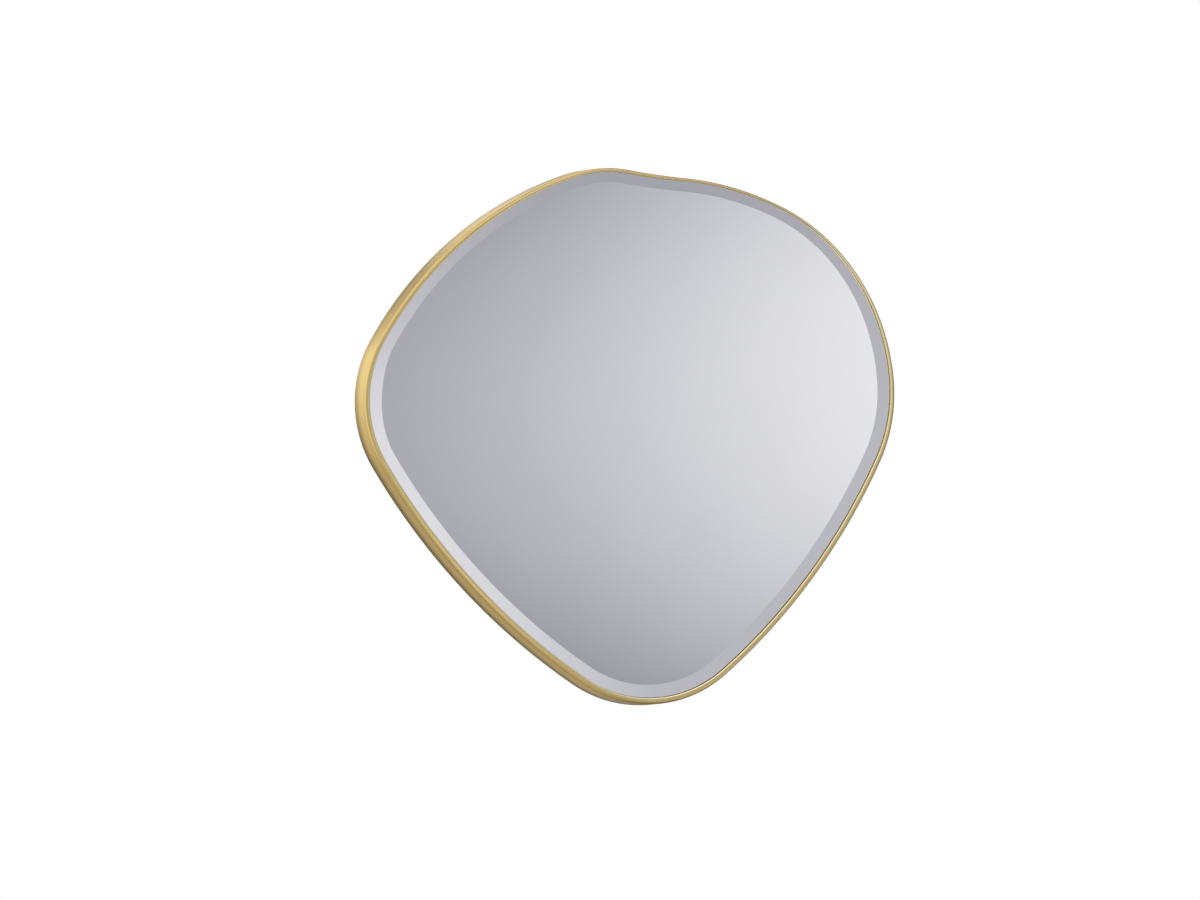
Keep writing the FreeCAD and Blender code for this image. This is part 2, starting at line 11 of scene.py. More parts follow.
import bpy
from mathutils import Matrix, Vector


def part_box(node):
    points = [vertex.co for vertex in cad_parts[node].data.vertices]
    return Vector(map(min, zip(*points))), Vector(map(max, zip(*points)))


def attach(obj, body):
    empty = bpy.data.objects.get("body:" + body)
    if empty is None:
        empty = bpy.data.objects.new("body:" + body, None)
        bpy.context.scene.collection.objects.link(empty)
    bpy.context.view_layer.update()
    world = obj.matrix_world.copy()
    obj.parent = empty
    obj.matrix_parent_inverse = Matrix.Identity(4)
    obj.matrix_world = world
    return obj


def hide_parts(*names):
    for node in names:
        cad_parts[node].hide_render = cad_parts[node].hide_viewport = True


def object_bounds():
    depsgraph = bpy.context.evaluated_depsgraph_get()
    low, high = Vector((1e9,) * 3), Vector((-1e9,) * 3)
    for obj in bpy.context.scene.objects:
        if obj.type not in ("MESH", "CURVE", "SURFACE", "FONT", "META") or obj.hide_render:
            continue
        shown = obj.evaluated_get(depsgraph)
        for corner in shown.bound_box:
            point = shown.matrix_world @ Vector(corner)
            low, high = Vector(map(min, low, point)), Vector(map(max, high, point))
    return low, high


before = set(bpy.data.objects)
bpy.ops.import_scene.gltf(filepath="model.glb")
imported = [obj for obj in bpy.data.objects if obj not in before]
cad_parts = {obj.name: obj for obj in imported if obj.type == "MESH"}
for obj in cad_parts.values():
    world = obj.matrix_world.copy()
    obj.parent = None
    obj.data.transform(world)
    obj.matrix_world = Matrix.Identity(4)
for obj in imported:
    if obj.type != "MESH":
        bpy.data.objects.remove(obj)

CAD_BOX = [list(corner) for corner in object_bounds()]
LOG = logging.getLogger("gilt_mirror")
MM = 0.001
MIRROR_BODY = "mirror_body"
BRUSHING_MAP = "brushing"


class Slot(str, Enum):
    """The record's finishes that match the new pieces; no piece is given one here."""

    GILT = "gilt"
    MIRROR = "mirror"
    SCREW_STEEL = "screw_steel"


Colour = tuple[float, float, float]
Point = tuple[float, float, float]
Socket = bpy.types.NodeSocket


def from_srgb(red: int, green: int, blue: int) -> Colour:
    """Turn a colour as seen on a screen into the linear values that a shader takes.

    Args:
        red, green, blue: The colour's parts from 0 to 255.

    Returns:
        The linear colour.
    """
    parts = (part / 255 for part in (red, green, blue))
    return tuple(p / 12.92 if p <= 0.04045 else ((p + 0.055) / 1.055) ** 2.4 for p in parts)


def grey(tone: float) -> Colour:
    """A plain grey of a linear tone."""
    return tone, tone, tone


def direction_to(azimuth: float, elevation: float) -> Vector:
    """The way out to a viewer, who stands before the mirror at an azimuth of 0.

    Args:
        azimuth: The angle to the right in degrees.
        elevation: The angle up in degrees.

    Returns:
        The direction, of length 1.
    """
    turn, lift = math.radians(azimuth), math.radians(elevation)
    return Vector((math.sin(turn) * math.cos(lift), -math.cos(turn) * math.cos(lift), math.sin(lift)))


class Lobe(NamedTuple):
    """A smooth swell round a direction: the direction and the spread in degrees, and the height."""

    turn: float
    spread: float
    height: float


def swell(turn: float, lobes: Sequence[Lobe]) -> float:
    """Add up the swells that reach a direction.

    Args:
        turn: The direction in degrees.
        lobes: The swells.

    Returns:
        The height there.
    """
    total = 0.0
    for lobe in lobes:
        off = (turn - lobe.turn + 180) % 360 - 180
        total += lobe.height * math.exp(-((off / lobe.spread) ** 2))
    return total


class Tree:
    """One shader tree, with short ways to add nodes and join them."""

    def __init__(self, tree: bpy.types.NodeTree) -> None:
        """Start from an empty tree."""
        self.tree = tree
        tree.nodes.clear()

    def add(self, kind: str, settings: dict[str, object] | None = None, **sockets: object) -> bpy.types.Node:
        """Add a node.

        Args:
            kind: The node's type, without its ShaderNode prefix.
            settings: Properties of the node itself.
            sockets: Values or sockets for its inputs, by name with underscores for blanks, or by
                number after a letter i.

        Returns:
            The new node.
        """
        prefix = "" if kind.startswith("Node") else "ShaderNode"
        node = self.tree.nodes.new(prefix + kind)
        for name, value in (settings or {}).items():
            setattr(node, name, value)
        for name, value in sockets.items():
            self.put(node, name, value)
        return node

    def put(self, node: bpy.types.Node, name: str, value: object) -> None:
        """Set one input of a node, or link it to a socket.

        Args:
            node: The node.
            name: The input's name with underscores for blanks, or its number after a letter i.
            value: A value, or the socket that the input takes.
        """
        numbered = name[0] == "i" and name[1:].isdigit()
        socket = node.inputs[int(name[1:]) if numbered else name.replace("_", " ")]
        if isinstance(value, Socket):
            self.tree.links.new(value, socket)
        elif isinstance(value, tuple) and len(value) == 3 and socket.type == "RGBA":
            socket.default_value = (*value, 1.0)
        else:
            socket.default_value = value

    def math(self, operation: str, *values: object, clamp: bool = False) -> Socket:
        """Add a calculation on numbers.

        Args:
            operation: The calculation's name.
            values: Numbers or sockets, in the node's order.
            clamp: Whether the result stays from 0 to 1.

        Returns:
            The socket of the result.
        """
        sockets = {"i%d" % i: value for i, value in enumerate(values)}
        return self.add("Math", {"operation": operation, "use_clamp": clamp}, **sockets).outputs[0]

    def ramp(self, value: Socket, start: float, end: float) -> Socket:
        """How far a number has come from a start to an end, held from 0 to 1."""
        return self.add("MapRange", Value=value, From_Min=start, From_Max=end).outputs["Result"]

    def between(self, share: Socket, low: float, high: float) -> Socket:
        """Spread a share from 0 to 1 over a range of numbers."""
        return self.add("MapRange", Value=share, To_Min=low, To_Max=high).outputs["Result"]

    def blend(self, share: Socket, first: object, second: object) -> Socket:
        """Blend two colours or their sockets, with as much of the second as the share says."""
        return self.add("Mix", {"data_type": "RGBA"}, i0=share, i6=first, i7=second).outputs[2]

    def noise(self, place: Socket, scale: object, **sockets: object) -> Socket:
        """A noise over places, from 0 to 1."""
        return self.add("TexNoise", Vector=place, Scale=scale, **sockets).outputs[0]

    def parts(self, vector: Socket) -> dict[str, Socket]:
        """The three parts of a vector, by axis."""
        return {socket.name: socket for socket in self.add("SeparateXYZ", Vector=vector).outputs}

    def length(self, vector: Socket) -> Socket:
        """The length of a vector."""
        return self.add("VectorMath", {"operation": "LENGTH"}, i0=vector).outputs["Value"]

    def place(self) -> Socket:
        """The place on the piece itself."""
        return self.add("TexCoord").outputs["Object"]

    def normal(self) -> Socket:
        """The way that the surface faces."""
        return self.add("NewGeometry").outputs["Normal"]

    def fade_out(self, share: Socket, shader: bpy.types.Node) -> None:
        """Finish a material whose shader turns clear by a share.

        Args:
            share: How clear it is, from 0 to 1.
            shader: The shader.
        """
        clear = self.add("BsdfTransparent").outputs[0]
        mix = self.add("MixShader", i0=share, i1=shader.outputs[0], i2=clear)
        self.add("OutputMaterial", Surface=mix.outputs[0])

    def brushing_map(self) -> dict[str, Socket]:
        """The way along a band and round its girth, as X and Y."""
        return self.parts(self.add("UVMap", {"uv_map": BRUSHING_MAP}).outputs["UV"])


class Effect:
    """An effect that finishes share: one node group, made when it is first asked for."""

    name: str
    inputs: dict[str, float]
    outputs: tuple[str, ...]

    def group(self) -> bpy.types.NodeTree:
        """Get the effect's node group with its named sockets, which is made on the first call.

        Returns:
            The group.
        """
        made = bpy.data.node_groups.get(self.name)
        if made is None:
            made = bpy.data.node_groups.new(self.name, "ShaderNodeTree")
            number = "NodeSocketFloat"
            for name, usual in self.inputs.items():
                socket = made.interface.new_socket(name=name, in_out="INPUT", socket_type=number)
                socket.default_value = usual
            for name in self.outputs:
                made.interface.new_socket(name=name, in_out="OUTPUT", socket_type=number)
            tree = Tree(made)
            given = {socket.name: socket for socket in tree.add("NodeGroupInput").outputs}
            out = tree.add("NodeGroupOutput")
            for name, value in self.lay(tree, given).items():
                tree.put(out, name, value)
        return made

    def lay(self, tree: Tree, given: dict[str, Socket]) -> dict[str, Socket]:
        """Lay the effect's nodes.

        Args:
            tree: The group's tree.
            given: The group's inputs by name.

        Returns:
            What each output puts out, by name.
        """
        raise NotImplementedError

    def on(self, tree: Tree, **values: object) -> dict[str, Socket]:
        """Place the effect in a material.

        Args:
            tree: The material's tree.
            values: The effect's inputs, with underscores for blanks.

        Returns:
            Its outputs by name.
        """
        node = tree.add("Group", {"node_tree": self.group()}, **values)
        return {socket.name: socket for socket in node.outputs}


class Brushing(Effect):
    """Fine strokes that run along a band. It reads the band's own map of length and girth."""

    name = "brushing"
    inputs = {"Along": 9.0, "Across": 2600.0}
    outputs = ("Strokes", "Drift")
    drift_along = 6.0
    drift_across = 40.0

    def lay(self, tree: Tree, given: dict[str, Socket]) -> dict[str, Socket]:
        """Long thin noise for the strokes, and a slow one for the drift of their tone.

        Args:
            tree: The group's tree.
            given: The group's inputs by name.

        Returns:
            The strokes and the drift.
        """
        fine = self.stretched(tree, given["Along"], given["Across"])
        strokes = tree.noise(fine, 1.0, Detail=3.0, Roughness=0.6)
        slow = self.stretched(tree, self.drift_along, self.drift_across)
        return {"Strokes": tree.ramp(strokes, 0.3, 0.7), "Drift": tree.noise(slow, 1.0, Detail=2.0)}

    @staticmethod
    def stretched(tree: Tree, along: object, across: object) -> Socket:
        """Stretch the band's map.

        Args:
            tree: The group's tree.
            along, across: How far it is stretched each way, as numbers or their sockets.

        Returns:
            The stretched place.
        """
        parts = tree.brushing_map()
        x, y = tree.math("MULTIPLY", parts["X"], along), tree.math("MULTIPLY", parts["Y"], across)
        return tree.add("CombineXYZ", X=x, Y=y).outputs[0]


class Mottle(Effect):
    """Cloudy and fine unevenness, placed by the piece itself."""

    name = "mottle"
    inputs = {"Cloud Scale": 20.0, "Grain Scale": 900.0}
    outputs = ("Cloud", "Grain")

    def lay(self, tree: Tree, given: dict[str, Socket]) -> dict[str, Socket]:
        """A noise for the clouds and one for the grain.

        Args:
            tree: The group's tree.
            given: The group's inputs by name.

        Returns:
            The clouds and the grain.
        """
        place = tree.place()
        cloud = tree.noise(place, given["Cloud Scale"], Detail=4.0)
        grain = tree.noise(place, given["Grain Scale"], Detail=2.0)
        return {"Cloud": tree.ramp(cloud, 0.28, 0.72), "Grain": tree.ramp(grain, 0.28, 0.72)}


class EdgeWear(Effect):
    """A mask of edges rubbed bare, broken up by noise."""

    name = "edge_wear"
    inputs = {"Reach": 0.6 * MM, "Break Up": 400.0}
    outputs = ("Mask",)

    def lay(self, tree: Tree, given: dict[str, Socket]) -> dict[str, Socket]:
        """Find where a rounded edge would turn away from the face.

        Args:
            tree: The group's tree.
            given: The group's inputs by name.

        Returns:
            The mask.
        """
        rounded = tree.add("Bevel", {"samples": 6}, Radius=given["Reach"]).outputs[0]
        likeness = tree.add("VectorMath", {"operation": "DOT_PRODUCT"}, i0=rounded, i1=tree.normal())
        turned = tree.ramp(likeness.outputs["Value"], 0.998, 0.90)
        patchy = tree.ramp(tree.noise(tree.place(), given["Break Up"], Detail=3.0), 0.35, 0.6)
        return {"Mask": tree.math("MULTIPLY", turned, patchy, clamp=True)}


class Dust(Effect):
    """A mask of dust, which lies mostly on what faces up."""

    name = "dust"
    inputs = {"Amount": 0.3, "Speck Scale": 1500.0}
    outputs = ("Mask",)

    def lay(self, tree: Tree, given: dict[str, Socket]) -> dict[str, Socket]:
        """Specks, more of them where the surface faces up.

        Args:
            tree: The group's tree.
            given: The group's inputs by name.

        Returns:
            The mask.
        """
        up = tree.parts(tree.normal())["Z"]
        lying = tree.add("MapRange", Value=up, From_Min=-0.3, From_Max=0.9, To_Min=0.15).outputs["Result"]
        specks = tree.ramp(tree.noise(tree.place(), given["Speck Scale"], Detail=4.0), 0.45, 0.75)
        amount = tree.math("MULTIPLY", lying, given["Amount"])
        return {"Mask": tree.math("MULTIPLY", amount, specks, clamp=True)}


def new_material(name: str) -> tuple[bpy.types.Material, Tree]:
    """Make a material with an empty tree.

    Args:
        name: The material's name.

    Returns:
        The material and its tree.
    """
    material = bpy.data.materials.new(name)
    material.use_nodes = True
    return material, Tree(material.node_tree)


class Finish:
    """A finish, whose material is made once."""

    name: str

    def material(self) -> bpy.types.Material:
        """Get the finish's material, which is made on the first call.

        Returns:
            The material.
        """
        made = bpy.data.materials.get(self.name)
        if made is None:
            made, tree = new_material(self.name)
            shader = tree.add("BsdfPrincipled")
            tree.add("OutputMaterial", Surface=shader.outputs[0])
            self.shade(tree, shader)
        return made

    def shade(self, tree: Tree, shader: bpy.types.Node) -> None:
        """Set the shader's sockets and lay the nodes before them.

        Args:
            tree: The material's tree.
            shader: Its Principled shader.
        """
        raise NotImplementedError

    @staticmethod
    def bump(tree: Tree, shader: bpy.types.Node, height: Socket, strength: float, depth: float) -> None:
        """Let a height raise the surface.

        Args:
            tree: The material's tree.
            shader: Its Principled shader.
            height: The socket of the height, from 0 to 1.
            strength: How much of the bump shows.
            depth: The height of a full bump in metres.
        """
        node = tree.add("Bump", Strength=strength, Distance=depth, Height=height)
        tree.put(shader, "Normal", node.outputs[0])


@dataclass(frozen=True)
class BrushedGilt(Finish):
    """Brushed gold-coloured metal under a clear lacquer."""

    name: str = "brushed_gilt"
    deep: Colour = from_srgb(191, 163, 97)
    pale: Colour = from_srgb(215, 191, 129)
    rubbed: Colour = from_srgb(232, 214, 166)
    # Painted shade: a dark brown laid on towards the rear edge and on what faces down
    painted_shade: Colour = from_srgb(92, 73, 38)
    # Painted highlight: a pale cream laid along the inner edge of the nose
    painted_highlight: Colour = from_srgb(246, 231, 186)
    glancing: Colour = from_srgb(252, 248, 239)
    dusty: Colour = from_srgb(200, 196, 186)
    smoothest: float = 0.25
    roughest: float = 0.33
    stroke_share: float = 0.25
    worn_share: float = 0.25
    painted_highlight_share: float = 0.9
    dulled: float = 0.3
    painted_shade_from: float = -1.0 * MM
    painted_shade_to: float = 13.0 * MM
    painted_highlight_from: float = 31.2 * MM
    painted_highlight_to: float = 34.6 * MM

    def shade(self, tree: Tree, shader: bpy.types.Node) -> None:
        """Strokes along the band in colour, gloss and relief, rubbed edges, painted shade towards the rear
        and a painted highlight on the nose.

        Args:
            tree: The material's tree.
            shader: Its Principled shader.
        """
        strokes = Brushing().on(tree)
        wear = EdgeWear().on(tree, Reach=0.35 * MM, Break_Up=120.0)
        dust = Dust().on(tree, Amount=0.03)
        slow = tree.math("MULTIPLY", strokes["Drift"], 1 - self.stroke_share)
        tone = tree.math("MULTIPLY_ADD", strokes["Strokes"], self.stroke_share, slow)
        plain = tree.blend(tone, self.deep, self.pale)
        edged = tree.blend(tree.math("MULTIPLY", wear["Mask"], self.worn_share), plain, self.rubbed)
        # Painted shade: darker towards the rear edge, more so where the surface faces down
        rear = tree.ramp(tree.parts(tree.place())["Y"], self.painted_shade_from, self.painted_shade_to)
        up = tree.parts(tree.normal())["Z"]
        under = tree.add("MapRange", Value=up, From_Min=0.3, From_Max=-0.6, To_Min=0.4, To_Max=1.1)
        painted_shade_mask = tree.math("MULTIPLY", rear, under.outputs["Result"], clamp=True)
        painted_shade = tree.blend(painted_shade_mask, edged, self.painted_shade)
        # Painted highlight: paler along the inner edge of the nose, by the band's girth
        inner = tree.ramp(tree.brushing_map()["Y"], self.painted_highlight_from, self.painted_highlight_to)
        bright = tree.blend(tree.math("MULTIPLY", inner, self.painted_highlight_share), painted_shade, self.painted_highlight)
        tree.put(shader, "Base_Color", tree.blend(dust["Mask"], bright, self.dusty))
        rough = tree.between(strokes["Strokes"], self.smoothest, self.roughest)
        tree.put(shader, "Roughness", tree.math("MULTIPLY_ADD", dust["Mask"], self.dulled, rough))
        tree.put(shader, "Metallic", 1.0)
        tree.put(shader, "Specular_Tint", self.glancing)
        self.bump(tree, shader, strokes["Strokes"], strength=0.05, depth=0.006 * MM)


@dataclass(frozen=True)
class SilveredGlass(Finish):
    """The silvered face of the glass, clean but for faint wiping marks."""

    name: str = "silvered_glass"
    tint: Colour = from_srgb(240, 240, 244)
    haze: Colour = from_srgb(238, 238, 242)
    gloss: tuple[float, float] = (0.0, 0.01)
    dulled: float = 0.12

    def shade(self, tree: Tree, shader: bpy.types.Node) -> None:
        """A clear mirror with a breath of haze.

        Args:
            tree: The material's tree.
            shader: Its Principled shader.
        """
        cloud = Mottle().on(tree, Cloud_Scale=9.0, Grain_Scale=60.0)
        dust = Dust().on(tree, Amount=0.03, Speck_Scale=2200.0)
        tree.put(shader, "Base_Color", tree.blend(cloud["Cloud"], self.tint, self.haze))
        wiped = tree.between(cloud["Grain"], *self.gloss)
        tree.put(shader, "Roughness", tree.math("MULTIPLY_ADD", dust["Mask"], self.dulled, wiped))
        tree.put(shader, "Metallic", 1.0)


@dataclass(frozen=True)
class GlassEdge(Finish):
    """The ground edge of the glass, pale green where light goes deep."""

    name: str = "glass_edge"
    green: Colour = from_srgb(142, 170, 158)
    pale: Colour = from_srgb(190, 204, 198)
    gloss: tuple[float, float] = (0.12, 0.35)

    def shade(self, tree: Tree, shader: bpy.types.Node) -> None:
        """Fine grinding marks on green glass.

        Args:
            tree: The material's tree.
            shader: Its Principled shader.
        """
        grain = Mottle().on(tree, Cloud_Scale=60.0, Grain_Scale=2500.0)
        tree.put(shader, "Base_Color", tree.blend(grain["Cloud"], self.green, self.pale))
        tree.put(shader, "Roughness", tree.between(grain["Grain"], *self.gloss))
        tree.put(shader, "Coat_Weight", 0.3)
        self.bump(tree, shader, grain["Grain"], strength=0.2, depth=0.02 * MM)


@dataclass(frozen=True)
class BackPaint(Finish):
    """The protective paint on the silvered side."""

    name: str = "silvering_paint"
    dark: Colour = from_srgb(78, 88, 86)
    light: Colour = from_srgb(104, 114, 110)
    gloss: tuple[float, float] = (0.35, 0.55)

    def shade(self, tree: Tree, shader: bpy.types.Node) -> None:
        """Poured paint with a faint orange-peel relief.

        Args:
            tree: The material's tree.
            shader: Its Principled shader.
        """
        skin = Mottle().on(tree, Cloud_Scale=30.0, Grain_Scale=700.0)
        tree.put(shader, "Base_Color", tree.blend(skin["Cloud"], self.dark, self.light))
        tree.put(shader, "Roughness", tree.between(skin["Grain"], *self.gloss))
        self.bump(tree, shader, skin["Grain"], strength=0.2, depth=0.05 * MM)


@dataclass(frozen=True)
class SheetPlastic(Finish):
    """A plastic layer: the backing film or the foam tape."""

    name: str
    shade_low: Colour
    shade_high: Colour
    grain: float
    relief: float
    gloss: tuple[float, float] = (0.4, 0.6)
    grain_share: float = 0.6

    def shade(self, tree: Tree, shader: bpy.types.Node) -> None:
        """Cells or fibres as colour and relief.

        Args:
            tree: The material's tree.
            shader: Its Principled shader.
        """
        cells = Mottle().on(tree, Cloud_Scale=40.0, Grain_Scale=self.grain)
        clouds = tree.math("MULTIPLY", cells["Cloud"], 1 - self.grain_share)
        tone = tree.math("MULTIPLY_ADD", cells["Grain"], self.grain_share, clouds)
        tree.put(shader, "Base_Color", tree.blend(tone, self.shade_low, self.shade_high))
        tree.put(shader, "Roughness", tree.between(cells["Grain"], *self.gloss))
        self.bump(tree, shader, cells["Grain"], strength=0.5, depth=self.relief)


@dataclass(frozen=True)
class Fibreboard(Finish):
    """Pressed fibreboard with pale and dark fibres."""

    name: str = "fibreboard"
    dark: Colour = from_srgb(128, 95, 62)
    middle: Colour = from_srgb(148, 113, 77)
    pale: Colour = from_srgb(174, 139, 99)
    dusty: Colour = from_srgb(196, 186, 170)
    gloss: tuple[float, float] = (0.68, 0.88)
    strands: tuple[tuple[float, float], ...] = ((0.5, 330.0), (2.1, 420.0), (3.9, 380.0))

    def fibres(self, tree: Tree) -> Socket:
        """Short fibres in several directions.

        Args:
            tree: The material's tree.

        Returns:
            The mask of the fibres.
        """
        place = tree.place()
        masks = []
        for turn, stretch in self.strands:
            scale = (stretch, 1500.0, 3600.0)
            turned = tree.add("Mapping", Vector=place, Rotation=(0.0, turn, 0.0), Scale=scale)
            masks.append(tree.ramp(tree.noise(turned.outputs[0], 1.0, Detail=2.0), 0.56, 0.74))
        fibres = masks[0]
        for mask in masks[1:]:
            fibres = tree.math("MAXIMUM", fibres, mask)
        return fibres

    def shade(self, tree: Tree, shader: bpy.types.Node) -> None:
        """Fibres over cloudy pressing, with dust.

        Args:
            tree: The material's tree.
            shader: Its Principled shader.
        """
        base = Mottle().on(tree, Cloud_Scale=14.0, Grain_Scale=1400.0)
        dust = Dust().on(tree, Amount=0.35)
        fibres = self.fibres(tree)
        half_grain = tree.math("MULTIPLY", base["Grain"], 0.5)
        ground = tree.blend(base["Cloud"], self.dark, self.middle)
        speckled = tree.blend(half_grain, ground, self.middle)
        pressed = tree.blend(fibres, speckled, self.pale)
        tree.put(shader, "Base_Color", tree.blend(dust["Mask"], pressed, self.dusty))
        tree.put(shader, "Roughness", tree.between(base["Grain"], *self.gloss))
        relief = tree.math("MULTIPLY_ADD", fibres, 0.5, half_grain)
        self.bump(tree, shader, relief, strength=0.3, depth=0.03 * MM)


@dataclass(frozen=True)
class PlatedSteel(Finish):
    """Plated steel sheet, wire or screws."""

    name: str
    dark: Colour
    light: Colour
    bare: Colour
    gloss: tuple[float, float] = (0.25, 0.45)
    cloud: float = 160.0
    soiled: float = 0.2
    dusty: Colour = from_srgb(150, 142, 130)
    dulled: float = 0.4

    def shade(self, tree: Tree, shader: bpy.types.Node) -> None:
        """Cloudy plating, bare edges and a little dust.

        Args:
            tree: The material's tree.
            shader: Its Principled shader.
        """
        plate = Mottle().on(tree, Cloud_Scale=self.cloud, Grain_Scale=1800.0)
        wear = EdgeWear().on(tree, Reach=0.35 * MM, Break_Up=500.0)
        dust = Dust().on(tree, Amount=self.soiled)
        plated = tree.blend(plate["Cloud"], self.dark, self.light)
        rubbed = tree.blend(wear["Mask"], plated, self.bare)
        tree.put(shader, "Base_Color", tree.blend(dust["Mask"], rubbed, self.dusty))
        rough = tree.between(plate["Grain"], *self.gloss)
        tree.put(shader, "Roughness", tree.math("MULTIPLY_ADD", dust["Mask"], self.dulled, rough))
        tree.put(shader, "Metallic", tree.math("SUBTRACT", 1.0, dust["Mask"]))
        self.bump(tree, shader, plate["Grain"], strength=0.15, depth=0.02 * MM)


@dataclass(frozen=True)
class MouldedRubber(Finish):
    """Black rubber with a dull moulded skin."""

    name: str = "moulded_rubber"
    dark: Colour = from_srgb(30, 30, 31)
    pale: Colour = from_srgb(56, 55, 54)
    chalk: Colour = from_srgb(92, 91, 90)
    dusty: Colour = from_srgb(150, 146, 140)
    gloss: tuple[float, float] = (0.55, 0.75)

    def shade(self, tree: Tree, shader: bpy.types.Node) -> None:
        """A fine moulded skin, chalky at its edges and dusty on top.

        Args:
            tree: The material's tree.
            shader: Its Principled shader.
        """
        skin = Mottle().on(tree, Cloud_Scale=120.0, Grain_Scale=2400.0)
        wear = EdgeWear().on(tree, Reach=0.5 * MM, Break_Up=700.0)
        dust = Dust().on(tree, Amount=0.4)
        body = tree.blend(skin["Cloud"], self.dark, self.pale)
        chalky = tree.blend(tree.math("MULTIPLY", wear["Mask"], 0.5), body, self.chalk)
        tree.put(shader, "Base_Color", tree.blend(dust["Mask"], chalky, self.dusty))
        tree.put(shader, "Roughness", tree.between(skin["Grain"], *self.gloss))
        self.bump(tree, shader, skin["Grain"], strength=0.3, depth=0.04 * MM)


GILT = BrushedGilt()
FILM = SheetPlastic(
    "backing_film", from_srgb(196, 204, 212), from_srgb(224, 229, 234), grain=500.0, relief=0.05 * MM
)
FOAM = SheetPlastic(
    "foam_tape", from_srgb(214, 213, 208), from_srgb(238, 237, 233), grain=1600.0, relief=0.2 * MM,
    gloss=(0.7, 0.9),
)
ZINC = PlatedSteel(
    "zinc_sheet", from_srgb(158, 162, 166), from_srgb(204, 207, 209), from_srgb(224, 224, 222)
)
NICKEL = PlatedSteel(
    "nickel_plate", from_srgb(190, 186, 178), from_srgb(220, 216, 208), from_srgb(235, 230, 220),
    gloss=(0.14, 0.28), cloud=90.0, soiled=0.12,
)
SCREW_ZINC = PlatedSteel(
    "screw_zinc", from_srgb(176, 170, 154), from_srgb(212, 206, 188), from_srgb(232, 228, 214),
    gloss=(0.2, 0.36), cloud=300.0, soiled=0.15,
)


class Station(NamedTuple):
    """One place on the outline: its arc's centre and radius, the direction out and the way there."""

    centre_x: float
    centre_z: float
    radius: float
    angle: float
    travel: float

    def at(self, inset: float, depth: float, right: float = 0.0, rise: float = 0.0) -> Point:
        """The point behind or before this place.

        Args:
            inset: How far it lies inside the outline.
            depth: Its Y.
            right, rise: How far the whole line is moved aside.

        Returns:
            The point.
        """
        reach = self.radius - inset
        across = self.centre_x + right + reach * math.cos(self.angle)
        return across, depth, self.centre_z + rise + reach * math.sin(self.angle)


class Corner(NamedTuple):
    """A corner: its direction from the lobe's middle in degrees, how far it stands proud, its radius."""

    angle: float
    proud: float
    radius: float


class Arc(NamedTuple):
    """One arc of the outline: centre, radius, below zero for a hollow arc, and the directions out."""

    centre: Vector
    radius: float
    start: float
    span: float

    def length(self) -> float:
        """The length of the arc."""
        return abs(self.radius * self.span)

    def station(self, share: float, travel: float) -> Station:
        """A place on the arc.

        Args:
            share: How far along the arc it lies, from 0 to 1.
            travel: The way along the outline to the arc's start.

        Returns:
            The place.
        """
        angle = self.start + self.span * share
        return Station(self.centre.x, self.centre.y, self.radius, angle, travel + self.length() * share)


